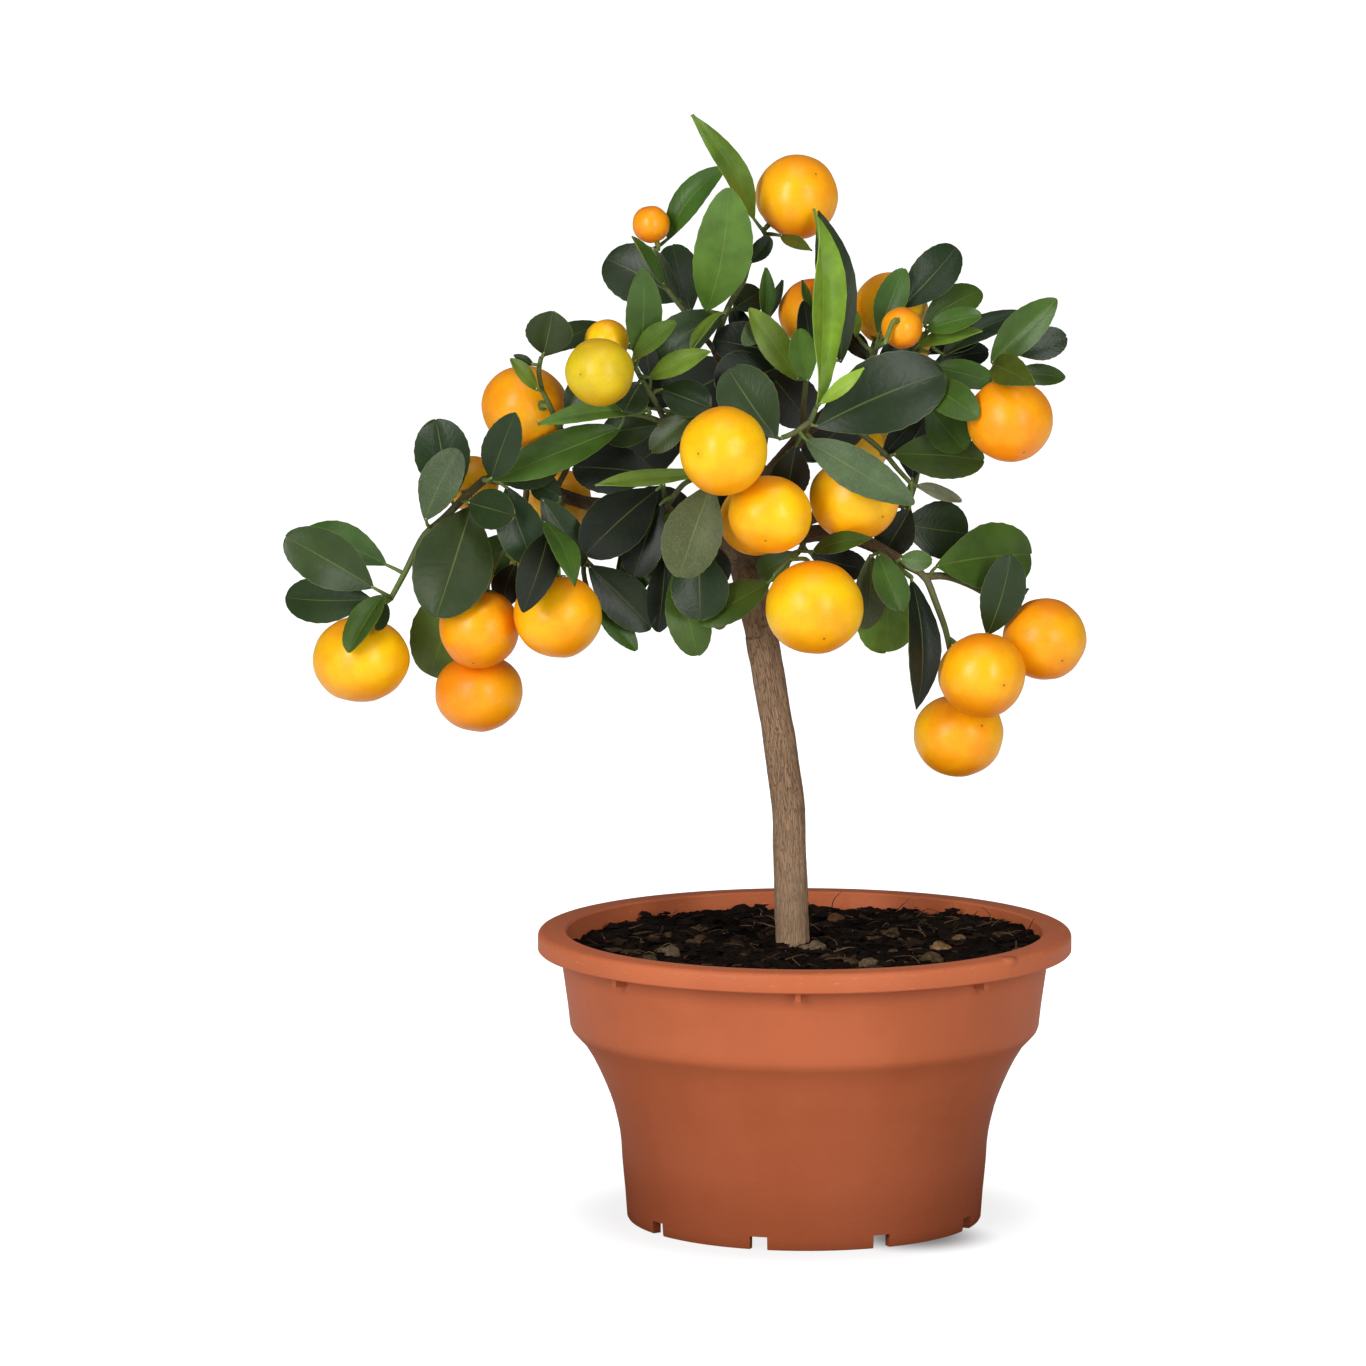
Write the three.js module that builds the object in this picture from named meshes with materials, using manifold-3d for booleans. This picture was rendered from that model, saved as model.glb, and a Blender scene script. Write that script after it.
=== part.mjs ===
// A calamondin tree in a growers' pot: millimetres, +Z up, origin at the middle of the pot's foot.
// -Y is the front. Each leafy stem is one solid, and so is each fruit with its stalk and calyx.
import * as THREE from "three";
import Module from "manifold-3d";

const wasm = await Module();
wasm.setup();

// ---------------------------------------------------------------- driving dimensions
const GAP = 0.3;                 // clearance between pieces that touch
const SMOOTH = 0.16;             // edges shorter than this are merged
const GROW = 0.35;               // how far a piece keeps others away from its own surface

const POT_SIDES = 28;
const WALL = 2.0;
const POT_OUTSIDE = [            // radius, height up the outside of the wall
  [76.6, 0], [78.8, 30], [84.0, 55], [91.4, 70], [100.6, 85], [104.6, 123]];
const RIM_RADIUS = 115.0;
const RIM_TOP = 125.3;
const RIM_ROUND = 2.4;
const SKIRT_BOTTOM = 116.8;
const FLOOR = 2.2;
const RIBS = 8;                  // gussets between the wall and the rim's skirt
const RIB_THICK = 2.2;
const RIB_DROP = 4.0;
const RIB_FOOT = 103.4;          // where a rib starts, inside the wall
const RIB_TURN = -1.4;           // degrees from +X
const NOTCHES = 9;               // drainage notches in the foot's edge
const NOTCH_WIDTH = 7.6;
const NOTCH_HEIGHT = 5.6;
const NOTCH_START = 71.0;        // radius at its inner end
const NOTCH_DEPTH = 9.0;
const NOTCH_TURN = -14.5;

const SOIL_SIDES = 20;
const SOIL_RINGS = 3;
const SOIL_LEVEL = 118.0;
const SOIL_RELIEF = 1.1;
const SWELLS = [[62, 25, 4.5, 30], [-85, 0, -3, 28]];   // x, y, rise, spread

const EYE = new THREE.Vector3(0, -3000, 621);   // station point of the front elevation
const BLADE = 0.7;               // thickness of a leaf
const STATIONS = [[0, 0.08], [0.3, 0.47], [0.68, 0.46], [1, 0.1]];  // along the blade, half width
const PETIOLE = 1.0;
const CLEAR = 1.3;               // leaves keep this far from other leaves and wood
const STALK = 1.1;
const STALK_REACH = 3.0;         // from a fruit's skin to where its stalk bends
const FRUIT_SIDES = 8;
const FRUIT_RINGS = 5;
const TRUNK_SIDES = 9;
const LIMB_SIDES = 5;
const TWIG_SIDES = 4;

// Stones and bark chips in the soil: x, y, radius, height over the soil.
const STONES = [
  [-19, -84, 7.5, 2.4], [-8, -91, 5, 1.6], [29, -70, 4.5, 2], [41, -82, 6.5, 3], [54, -42, 5, 3],
  [80, -46, 4, 2], [92, -32, 4, 2.4], [70, -66, 3.6, 2], [62, -58, 3, 2.4], [-52, -72, 4, 1.8],
  [-70, -45, 4.5, 2], [-84, -20, 3.5, 1.6], [8, -78, 3.5, 1.8], [-36, -88, 3.5, 1.6]];

// Points are [x, z, y]: x and z are read on the front elevation, y is the depth behind it.
const TRUNK = [
  [7.3, 7.0, [[-5, 91, 0], [-5.2, 122, 0], [-6.3, 155, 0], [-7.4, 181, 0], [-11, 207.5, 0],
    [-15.4, 233.5, 0], [-19, 255, 0]]],
  [7.0, 7.4, [[-19, 255, 0], [-22.8, 272, 0], [-25.8, 285, 0], [-27, 298, 2]]],
  [4.6, 1.8, [[-26, 284, 0], [-45, 299, 5], [-62, 303, 6], [-80, 308, 6], [-95, 310, 5], [-112, 316, 3],
    [-126, 319, 0], [-137, 320, -4]]],
  [5.6, 1.5, [[-27, 293, 2], [-27, 318, 0], [-26, 342, -4], [-32, 362, -7], [-39.5, 376, -10]]],
  [3.6, 1.6, [[-27, 304, 1], [-17, 320, -14], [-6, 334, -36], [-0.5, 340.5, -49]]],
  [4.6, 1.8, [[-24, 287, -1], [-7, 295, -12], [12, 297, -20], [28, 292, -28], [42, 284.5, -32],
    [49, 280.6, -33]]],
  [3.8, 1.6, [[-26, 308, 1], [-8, 331, -5], [8, 348, -8], [26, 361, -10], [43, 372.5, -12]]],
  [2.2, 1.5, [[33, 365.5, -11], [52, 361, -12], [66, 361, -16], [75, 363, -19]]],
  [3.0, 1.5, [[-27, 312, 1], [-43, 330, -12], [-60, 344.5, -25]]],
  [4.2, 1.6, [[-27, 294, 3], [-24, 315, 27], [-19, 335, 48], [-14, 352, 64]]],
  [3.4, 1.5, [[-31, 292, 4], [-55, 305, 26], [-82, 306, 44], [-100, 304, 56]]],
  [3.4, 1.5, [[-22, 292, 4], [4, 304, 26], [28, 310, 44], [44, 309, 54]]]];

// Each stem: name, radius at its foot and end, its twigs, and its leaves. A leaf is the foot and
// the tip of its blade [x, z, y, x, z, y], then width, roll, fold (degrees), arch and tone.
const STEMS = [
  ["stem_front", 1.3, 1.1,
    [[[-0.5, 340.5, -49], [2, 345, -54], [4.5, 351, -57]],
     [[2, 345, -54], [-5, 340, -55], [-10, 338, -56]]],
    [[5, 352, -60, 6, 436, -46, 20, 50, 38, 0.05, 2],
     [0, 337, -55, 46.5, 310, -72, 18.5, 20, 12, 0.06, 3],
     [4, 342.5, -55, 59, 366, -48, 33, 10, 12, 0.05, 0],
     [-12, 337.5, -58, -33, 367.5, -64, 25, 8, 10, 0.05, 3],
     [6, 352.5, -63, 24.5, 368, -73, 6.5, 20, 20, 0.04, 2],
     [-4, 335, -50, -8, 312, -42, 17, 10, 10, 0.04, 4]]],
  ["stem_top", 1.4, 1.0,
    [[[-39.5, 376, -10], [-33, 394, -13], [-27, 404, -14], [-24.5, 412, -14], [-21, 420, -13],
      [-16, 425, -11]]],
    [[-42.5, 392, -20, -33, 444.5, -38, 25, 10, 20, 0.08, 1],
     [-22, 431, -12, -47.7, 475.6, -24, 13, 38, 18, 0.1, 1],
     [-24, 412.5, -17, -15, 423.5, -21, 8, 0, 15, 0.04, 0],
     [-34, 391, -16, -66, 372.5, -32, 19, 22, 18, 0.08, 3],
     [-34, 392, -22, -49, 374.5, -40, 8, 60, 22, 0.1, 2],
     [-11, 424.5, -15, 2, 418.5, -22, 6, 30, 15, 0.04, 5],
     [-31, 393, -4, -19, 400.5, 4, 14, 15, 12, 0.04, 0]]],
  ["stem_top_left", 1.3, 1.0,
    [[[-38, 374, -8], [-50, 390, -8], [-60, 403, -10], [-62, 411, -11], [-65, 418.5, -12]]],
    [[-59, 422.5, -9, -34.5, 453.5, -18, 15, 35, 20, 0.12, 1],
     [-53, 396.5, 2, -85.5, 415, 10, 26, 12, 10, 0.04, 0],
     [-49, 392, -2, -57, 421, 8, 18, 10, 12, 0.04, 0],
     [-60.5, 403, -14, -74, 424, -20, 9, 58, 22, 0.04, 1]]],
  ["stem_left_upper", 1.3, 1.1,
    [[[-60, 344.5, -25], [-64, 353, -30], [-69, 361, -33], [-73, 368.5, -35]]],
    [[-71.5, 371, -46, -69.5, 410.5, -54, 15.5, 10, 14, 0.04, 1],
     [-74, 372, -50, -55.5, 387.5, -60, 11, 40, 18, 0.06, 2],
     [-67, 363.5, -44, -41, 375, -56, 11, 35, 18, 0.08, 2],
     [-62, 359, -30, -41, 351, -40, 17, 22, 14, 0.05, 0],
     [-70, 362, -40, -77.5, 349, -45, 15, 12, 12, 0.04, 0],
     [-54, 352, -22, -72, 362, -14, 16, 12, 12, 0.04, 4],
     [-66, 362, -24, -68, 377, -16, 9, 10, 12, 0.04, 4]]],
  ["stem_left_lower", 1.3, 1.1,
    [[[-58, 343, -23], [-68, 347, -29], [-78, 348.5, -31]],
     [[-62, 345, -26], [-56, 347, -34], [-50, 349, -37]]],
    [[-66, 349.5, -35, -114.5, 343.5, -44, 11, 40, 24, 0.05, 2],
     [-79, 342, -30, -134, 320.5, -36, 19, 30, 18, 0.05, 1],
     [-48, 348, -40, -66, 332.5, -46, 12, 25, 14, 0.06, 3],
     [-62, 343.5, -22, -87, 340, -28, 17, 28, 14, 0.05, 0]]],
  ["stem_left_bud", 1.3, 1.0,
    [[[-107, 315, 4], [-101, 328, -4], [-103, 338, -20], [-107, 346, -34], [-110, 353, -40],
      [-112.5, 358, -41], [-114, 366, -42], [-113, 372, -43]]],
    [[-112, 373.5, -45, -108, 391.5, -52, 20, 8, 26, 0.05, 5],
     [-112, 373, -38, -86, 387, -17, 14, 38, 15, 0.05, 3],
     [-114.5, 358, -46, -126, 371.8, -51, 7, 30, 15, 0.05, 2],
     [-116, 369, -45, -124.5, 373.3, -49, 4, 30, 15, 0.05, 0],
     [-104, 326, -8, -128, 319.5, -14, 13, 10, 10, 0.04, 0],
     [-102, 347, -31, -95, 364, -28, 10, 10, 12, 0.04, 0]]],
  ["stem_far_left", 1.8, 1.2,
    [[[-137, 320, -4], [-146, 312, -10], [-155, 303, -13], [-163, 296, -14], [-168, 287, -14],
      [-172, 279, -15], [-178, 268, -17]]],
    [[-143, 308.5, -14, -158, 261.5, -44, 34, 5, 12, 0.03, 7],
     [-144.5, 310, -22, -125, 304.5, -42, 17.5, 8, 14, 0.05, 0],
     [-185, 273, -20, -222.5, 295, -26, 23.5, 12, 12, 0.05, 1],
     [-179.5, 283, -12, -216.5, 297, 2, 19, 35, 15, 0.05, 3],
     [-186, 268, -15, -224, 269, -8, 20, 15, 12, 0.05, 1],
     [-163, 302, -20, -149, 332.5, -27, 18, 15, 18, 0.05, 3],
     [-151.5, 310, -8, -158, 345.5, -4, 24, 8, 12, 0.04, 0],
     [-181, 270, -24, -196, 245.5, -44, 15, 40, 34, 0.06, 1],
     [-180, 267, -25, -184, 255, -38, 8, 30, 20, 0.05, 0]]],
  ["stem_left_front", 1.3, 1.1,
    [[[-126, 319, 0], [-132, 319.5, -18], [-137.5, 319.5, -31]]],
    [[-134.5, 320, -35, -124.5, 347.5, -44, 16.5, 10, 16, 0.05, 0],
     [-128, 317, -27, -116.5, 283.5, -34, 20, 10, 12, 0.05, 0]]],
  ["stem_left_twig", 1.4, 1.1,
    [[[-119, 318, 1], [-121, 305, -7], [-127, 292, -13], [-132, 285, -17], [-136, 276, -20]]],
    [[-127, 297, -6, -137, 280, 4, 16, 10, 12, 0.04, 1],
     [-137, 279, -10, -162, 262, 4, 20, 20, 12, 0.05, 1],
     [-145, 279, 1, -161.5, 235, 20, 29, 15, 12, 0.05, 1],
     [-124, 284, -14, -130, 266, -2, 13, 10, 12, 0.04, 4]]],
  ["stem_left_drop", 1.4, 1.1,
    [[[-103, 313, 4], [-109, 308, -13], [-111, 300, -23], [-107, 290, -28]]],
    [[-110, 297, -32, -121, 264, -54, 17, 10, 12, 0.04, 4],
     [-112, 302, -28, -98.5, 275, -48, 12, 38, 15, 0.05, 1],
     [-113, 312, -28, -95.5, 282.5, -38, 16, 12, 14, 0.05, 0],
     [-104, 312, -10, -117, 318.5, -14, 12, 10, 10, 0.04, 0]]],
  ["stem_left_inner", 1.3, 1.1,
    [[[-83, 308, 5], [-90, 299, -3], [-94, 289, -10], [-95, 280, -12], [-93, 271, -12]]],
    [[-93, 283, -17, -66, 256, -20, 20, 12, 14, 0.04, 0],
     [-90, 268, -12, -72, 246.5, -16, 11, 28, 15, 0.04, 1]]],
  ["stem_mid", 1.3, 1.1,
    [[[-52, 301, 5], [-59, 309, -6], [-61, 318, -14]],
     [[-59, 309, -6], [-52, 318, -24], [-44, 321.5, -33]]],
    [[-42, 322.5, -38, -90, 318.8, -44, 9, 45, 18, 0.03, 2],
     [-62, 310, -17, -73.5, 278, -22, 18, 12, 12, 0.04, 4],
     [-63, 316, -9, -94, 288, -4, 26, 18, 10, 0.03, 4],
     [-63, 322, -12, -99.5, 325.5, -9, 22, 12, 10, 0.03, 4],
     [-60, 303, -6, -77.5, 267.5, -10, 16, 12, 12, 0.04, 1]]],
  ["stem_centre_drop", 1.3, 1.2,
    [[[-27, 318, 0], [-34, 320, -20], [-38.5, 321, -40], [-38, 322, -49]]],
    [[-40, 318.5, -46, -54, 278, -56, 25, 8, 12, 0.04, 3]]],
  ["stem_left_under", 1.3, 1.1,
    [[[-43, 297.5, 4], [-47, 291, -12], [-52, 284, -24]]],
    [[-46, 291, -32, -45, 259.5, -36, 25, 8, 12, 0.04, 0],
     [-56, 281, -26, -46, 244, -28, 19, 12, 14, 0.04, 1],
     [-43, 285, -12, -36, 255.5, -20, 14, 15, 12, 0.04, 6],
     [-60, 287, -15, -63, 254, -14, 14, 8, 12, 0.04, 4],
     [-40, 293, -21, -37, 274, -24, 13, 10, 12, 0.04, 4]]],
  ["stem_centre", 1.3, 1.0,
    [[[-1, 339, -6], [-1, 350, -17], [0, 361, -26], [1, 370, -29], [3, 380, -31], [3, 388, -31.5]]],
    [[1, 362, -38, -3, 384.5, -46, 12, 12, 14, 0.05, 2],
     [-3, 362.5, -33, -23.5, 393.5, -38, 13.5, 18, 14, 0.05, 2],
     [2, 371, -33, -1, 396.5, -34, 10, 18, 14, 0.03, 4],
     [15, 370, -34, 6, 435, -33, 17, 15, 14, 0.04, 0],
     [3, 390, -33, -1.5, 405.5, -34, 4, 30, 15, 0.03, 1],
     [-12, 368, -28, -38, 359, -40, 26, 18, 12, 0.05, 4],
     [-8, 374, -20, -39, 380, -24, 20, 18, 12, 0.05, 4]]],
  ["stem_centre_back", 1.2, 1.0,
    [[[-28, 347, -5], [-23, 361, -9], [-19, 376, -13], [-17, 388, -17]]],
    [[-17.5, 389, -20, -17, 410.5, -25, 7, 15, 28, 0.04, 2],
     [-16, 389, -16, -10, 405.5, -14, 5, 30, 15, 0.04, 3],
     [-19, 388, -20, -26.5, 377.8, -31, 10, 5, 20, 0.08, 3],
     [-24, 378, -5, -31, 393, 1, 9, 10, 12, 0.04, 4]]],
  ["stem_right_front", 1.3, 1.0,
    [[[26, 361, -10], [28, 369, -16], [30, 376, -30], [31, 377, -44], [34, 379, -50]]],
    [[31, 382, -29.5, 41.5, 410.5, -34, 13.5, 10, 14, 0.05, 1],
     [40.5, 393.5, -26.5, 64, 419.5, -20, 19, 10, 12, 0.05, 0],
     [21.5, 381, -24, 22, 392, -28, 4, 20, 15, 0.03, 2],
     [31, 372, -14, 45, 377, -4, 12, 12, 12, 0.04, 0],
     [27, 371, -8, 17, 383, -4, 9, 10, 12, 0.04, 4]]],
  ["stem_right_top", 1.3, 1.0,
    [[[43, 372.5, -12], [48, 380, -18], [53, 384.5, -24]]],
    [[51, 384, -32, 74.5, 390.5, -40, 12, 38, 18, 0.05, 3],
     [50, 387, -26, 75, 401.5, -18, 15, 18, 12, 0.05, 1],
     [47, 377, -30, 75, 384.5, -38, 9, 48, 18, 0.05, 2],
     [58, 373, -22, 95, 392, -8, 14, 48, 20, 0.06, 0],
     [52, 374, -18, 73, 381, -12, 12, 38, 15, 0.05, 4],
     [55, 370, -14, 78, 375, -8, 12, 15, 12, 0.04, 4]]],
  ["stem_right", 1.3, 1.0,
    [[[75, 363, -19], [80, 367, -24], [87, 371, -27]]],
    [[79, 370, -32, 106.5, 397.5, -40, 16, 12, 24, 0.05, 1],
     [89, 374, -26, 111, 381.3, -20, 14, 10, 12, 0.04, 0],
     [88, 365.5, -23, 111, 364, -14, 9.5, 18, 12, 0.04, 1],
     [80, 369.5, -31, 97, 361.5, -56, 14, 15, 15, 0.08, 5]]],
  ["stem_right_mid", 1.3, 1.0,
    [[[22, 358, -9], [34, 353, -19], [44, 357, -27], [50, 365, -28]],
     [[34, 353, -19], [45, 348, -21]]],
    [[50, 361, -36, 73, 347.5, -60, 16, 22, 14, 0.05, 1],
     [54, 368.5, -30, 81, 361.5, -56, 13, 28, 14, 0.05, 1],
     [52, 352, -20, 68, 333, -28, 18, 15, 12, 0.04, 1]]],
  ["stem_right_low", 1.3, 1.0,
    [[[9, 349, -8], [22, 341, -13], [33, 332, -17], [39, 325, -19], [45, 318.5, -21]]],
    [[37, 331, -23, 76, 328.5, -30, 20, 8, 12, 0.04, 1],
     [47, 317.5, -18, 67, 311, -8, 8, 48, 12, 0.04, 6],
     [40, 301, -12, 70, 297, 2, 25, 12, 12, 0.04, 0],
     [33, 330, -8, 49, 347, -2, 10, 10, 12, 0.04, 4],
     [45, 308, -19, 33, 288, -21, 17, 10, 12, 0.04, 4]]],
  ["stem_right_drop", 1.3, 1.1,
    [[[29, 291.5, -28.5], [34, 287, -35], [40, 282, -37], [45.5, 278, -38]]],
    [[45.5, 277, -40, 49, 221, -46, 17, 35, 18, 0.1, 4],
     [28, 288, -40, 26, 255.5, -46, 15, 18, 12, 0.04, 3],
     [31, 288.5, -38, 41, 263.5, -40, 15, 22, 14, 0.04, 1],
     [33, 281, -32, 35, 245.5, -30, 27, 8, 12, 0.04, 2],
     [40, 286, -42, 54, 285, -46, 9, 10, 12, 0.04, 1]]],
  ["stem_hanging", 1.7, 1.2,
    [[[47.5, 281.4, -33], [52, 277, -34], [56, 267, -34], [60, 256, -33], [62, 247, -31]],
     [[51, 278.3, -33.8], [60, 278.5, -28], [70, 275, -20], [80, 269.5, -13], [88, 265.5, -12]]],
    [[56, 283, -36, 97.5, 288, 2, 29, 8, 10, 0.04, 1],
     [78, 253, -25, 88, 287.5, -30, 19, 8, 12, 0.04, 0],
     [90, 267, -13, 95.5, 273.5, -15, 2.6, 20, 12, 0.03, 0]]],
  ["stem_under", 1.3, 1.1,
    [[[0, 296, -15.5], [-2, 290, -23], [-8, 284, -26], [-13, 279, -27]]],
    [[-15, 276, -28, -46, 258.5, -42, 17, 28, 14, 0.05, 1],
     [3, 289, -34, 28, 295, -52, 9, 28, 14, 0.05, 1],
     [-5, 289, -20, -20, 279, -14, 13, 12, 12, 0.04, 1],
     [2, 288, -20, 26, 281.5, -16, 14, 10, 10, 0.04, 4]]],
  ["stem_back_top", 1.3, 1.0, [[[-14, 352, 64], [-18, 368, 70], [-28, 380, 70]]], []],
  ["stem_back_left", 1.3, 1.0, [[[-19, 335, 48], [-40, 342, 62], [-62, 350, 66], [-80, 352, 62]]], []],
  ["stem_back_low", 1.3, 1.0, [[[-100, 304, 56], [-96, 288, 62], [-84, 276, 64]]], []],
  ["stem_back_mid", 1.3, 1.0, [[[-60, 304.5, 29], [-56, 292, 42], [-44, 284, 50]]], []],
  ["stem_back_right", 1.3, 1.0, [[[44, 309, 54], [48, 326, 60], [44, 346, 60], [34, 360, 54]]], []]];

// Fruits: name, stem that bears it, centre [x, z, y], width, height, way to the calyx (x, y, z).
const FRUITS = [
  ["fruit_01", "stem_top", -3.9, 441, -10, 35, 35.5, -0.7, 0, -0.7],
  ["fruit_02", "stem_top_left", -66, 429, -14, 16, 16, 0.3, 0.1, -0.9],
  ["fruit_03", "stem_centre", 3.5, 391, -11, 30, 30, 0, -0.5, -0.85],
  ["fruit_04", "stem_right_front", 36, 393, -8, 32, 31, -0.4, -0.4, -0.8],
  ["fruit_05", "stem_right_front", 41, 385, -40, 17.5, 17.5, -0.3, -0.9, 0.45],
  ["fruit_06", "stem_right_top", 47.5, 377.5, 9, 13, 13, 0, -0.9, -0.3],
  ["fruit_07", "stem_right", 87.2, 345.8, -45, 36.5, 35, -0.3, 0.6, 0.7],
  ["fruit_08", "stem_left_upper", -85, 379, -36, 19, 19, 0.9, 0.2, -0.2],
  ["fruit_09", "stem_left_upper", -88, 366, -62, 28.7, 28.4, 0.6, 0.8, 0.1],
  ["fruit_10", "stem_left_bud", -120, 351, -18, 37, 35.5, 0.45, -0.85, 0.1],
  ["fruit_11", "stem_centre_drop", -35, 332, -78, 37, 37, -0.1, 0.95, -0.3],
  ["fruit_12", "trunk", -15, 305, -62, 35, 33, 0.1, 0.75, 0.65],
  ["fruit_13", "trunk", -21, 303, -27, 31, 31, -0.2, 0.95, -0.1],
  ["fruit_14", "stem_front", 21, 312, -38, 38, 36, -0.5, -0.1, 0.85],
  ["fruit_15", "stem_under", 4, 265, -58, 42, 39.5, -0.1, 0.6, 0.8],
  ["fruit_16", "stem_far_left", -190.7, 242.3, -18, 42, 36.5, 0.3, 0.1, 0.9],
  ["fruit_17", "stem_left_twig", -140, 256, -21, 34, 35, 0.2, 0, 0.98],
  ["fruit_18", "stem_left_twig", -140.3, 228, -3, 38, 33.5, 0.1, 0.3, 0.95],
  ["fruit_19", "stem_left_drop", -106, 261, -34, 38, 35, 0, 0.15, 0.98],
  ["fruit_20", "stem_hanging", 76, 236, -40, 37, 36, -0.6, 0.4, 0.65],
  ["fruit_21", "stem_hanging", 102.5, 251.5, -18, 36, 35, -0.7, 0.15, 0.7],
  ["fruit_22", "stem_hanging", 66, 210, -14, 38.6, 35.5, -0.15, -0.1, 0.97],
  ["fruit_23", "stem_far_left", -143, 318, 12, 24, 24, -0.1, -0.9, -0.3],
  ["fruit_24", "trunk", -105, 311, 22, 27, 27, 0, -0.95, 0],
  ["fruit_25", "stem_left_twig", -129, 284, 9, 22, 22, 0.2, -0.7, 0.7],
  ["fruit_26", "stem_back_mid", -46, 270, 50, 29, 29, 0.1, 0, 1],
  ["fruit_27", "stem_back_right", 20, 336, 72, 33, 32, 0.7, -0.3, 0.5]];

// Dense part of the crown on the front elevation, and the gaps in it that stay open.
const CROWN = [
  [-126, 318], [-112, 334], [-92, 350], [-66, 366], [-48, 378], [-28, 386], [-4, 380], [10, 372],
  [40, 372], [60, 368], [66, 345], [62, 325], [58, 300], [40, 292], [16, 290], [-6, 288], [-30, 290],
  [-50, 272], [-84, 266], [-100, 284], [-118, 296]];
const GAPS = [[-90, 317, 6], [-66, 311, 3.5], [50, 339.5, 5]];
const FILL_SEED = 4242;
const FILL_TRIES = 30;           // draws for each stem at the back
const FILL_LEAVES = 2;           // most leaves that such a stem gets
const FILL_LEAF = {              // least and most of each size of a drawn leaf
  length: [38, 54], petiole: [5, 8], slimness: [0.46, 0.56], depth: [-0.8, 0.8],
  roll: [-10, 40], fold: [8, 18], arch: [0.03, 0.08] };

// ---------------------------------------------------------------- small helpers
const v3 = (x, y, z) => new THREE.Vector3(x, y, z);
const radians = THREE.MathUtils.degToRad;
const along = (a, b, t) => a.clone().lerp(b, t);

// The point at depth y that covers (x, z) of the front elevation.
function sight(x, z, y) {
  const reach = (y - EYE.y) / -EYE.y;
  return v3(x, 0, z).sub(EYE).multiplyScalar(reach).add(EYE);
}

// The place on the front elevation that a point covers.
function elevation(p) {
  const reach = -EYE.y / (p.y - EYE.y);
  return [EYE.x + (p.x - EYE.x) * reach, EYE.z + (p.z - EYE.z) * reach];
}

function makeDraw(seed) {
  let state = seed;
  return () => {
    state = (state * 16807) % 2147483647;
    return state / 2147483647;
  };
}

function solid(points, faces) {
  const vertProperties = new Float32Array(points.length * 3);
  points.forEach((p, i) => vertProperties.set([p.x, p.y, p.z], i * 3));
  const triVerts = new Uint32Array(faces.flat());
  return new wasm.Manifold(new wasm.Mesh({ numProp: 3, vertProperties, triVerts }));
}

function join(solids) {
  return wasm.Manifold.union(solids);
}

function touching(a, b) {
  const p = a.boundingBox();
  const q = b.boundingBox();
  return [0, 1, 2].every((i) => p.min[i] <= q.max[i] && q.min[i] <= p.max[i]);
}

function cut(body, others) {
  const near = others.filter((other) => touching(body, other));
  return near.length ? body.subtract(join(near)) : body;
}

// ---------------------------------------------------------------- tubes
// Rings of `sides` points across a path, turned as little as possible from one to the next.
function tube(points, radii, sides) {
  const vertices = [];
  let across = null;
  points.forEach((p, i) => {
    const before = points[Math.max(i - 1, 0)];
    const after = points[Math.min(i + 1, points.length - 1)];
    const ahead = after.clone().sub(before).normalize();
    across = across ?? (Math.abs(ahead.y) < 0.8 ? v3(0, 1, 0) : v3(1, 0, 0));
    across = across.clone().addScaledVector(ahead, -across.dot(ahead)).normalize();
    const other = ahead.clone().cross(across);
    for (let k = 0; k < sides; k++) {
      const turn = (2 * Math.PI * k) / sides;
      vertices.push(p.clone().addScaledVector(across, radii[i] * Math.cos(turn))
        .addScaledVector(other, radii[i] * Math.sin(turn)));
    }
  });
  const faces = [];
  for (let i = 0; i + 1 < points.length; i++) {
    for (let k = 0; k < sides; k++) {
      const next = (k + 1) % sides;
      const [a, b, c, d] = [i * sides + k, i * sides + next, (i + 1) * sides + next, (i + 1) * sides + k];
      faces.push([a, b, c], [a, c, d]);
    }
  }
  const last = (points.length - 1) * sides;
  for (let k = 1; k + 1 < sides; k++) faces.push([0, k + 1, k], [last, last + k, last + k + 1]);
  return solid(vertices, faces);
}

function taper(path, foot, end, grow = 0) {
  return path.map((_, i) => foot + (end - foot) * (i / (path.length - 1)) + grow);
}

function twigPoints(path) {
  return path.map(([x, z, y]) => sight(x, z, y));
}

function nearestOn(paths, target) {
  let best = null;
  for (const points of paths) {
    for (let i = 0; i + 1 < points.length; i++) {
      const line = new THREE.Line3(points[i], points[i + 1]);
      const hit = line.closestPointToPoint(target, true, v3(0, 0, 0));
      const far = hit.distanceTo(target);
      if (!best || far < best.far) best = { far, hit };
    }
  }
  return best.hit;
}

// ---------------------------------------------------------------- leaves
// A leaf's frame: foot, tip, the way its face looks and the way across it.
function leafFrame(foot, tip, roll) {
  const ahead = tip.clone().sub(foot).normalize();
  const toFront = v3(0, -1, 0);
  const face = toFront.addScaledVector(ahead, -toFront.dot(ahead)).normalize();
  const side = ahead.clone().cross(face);
  const lean = Math.abs(side.z) > 0.3 ? Math.sign(side.z) : Math.sign(side.x);
  const turned = face.clone().multiplyScalar(Math.cos(roll)).addScaledVector(side, Math.sin(roll) * lean);
  return { ahead, face: turned, side: ahead.clone().cross(turned) };
}

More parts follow.
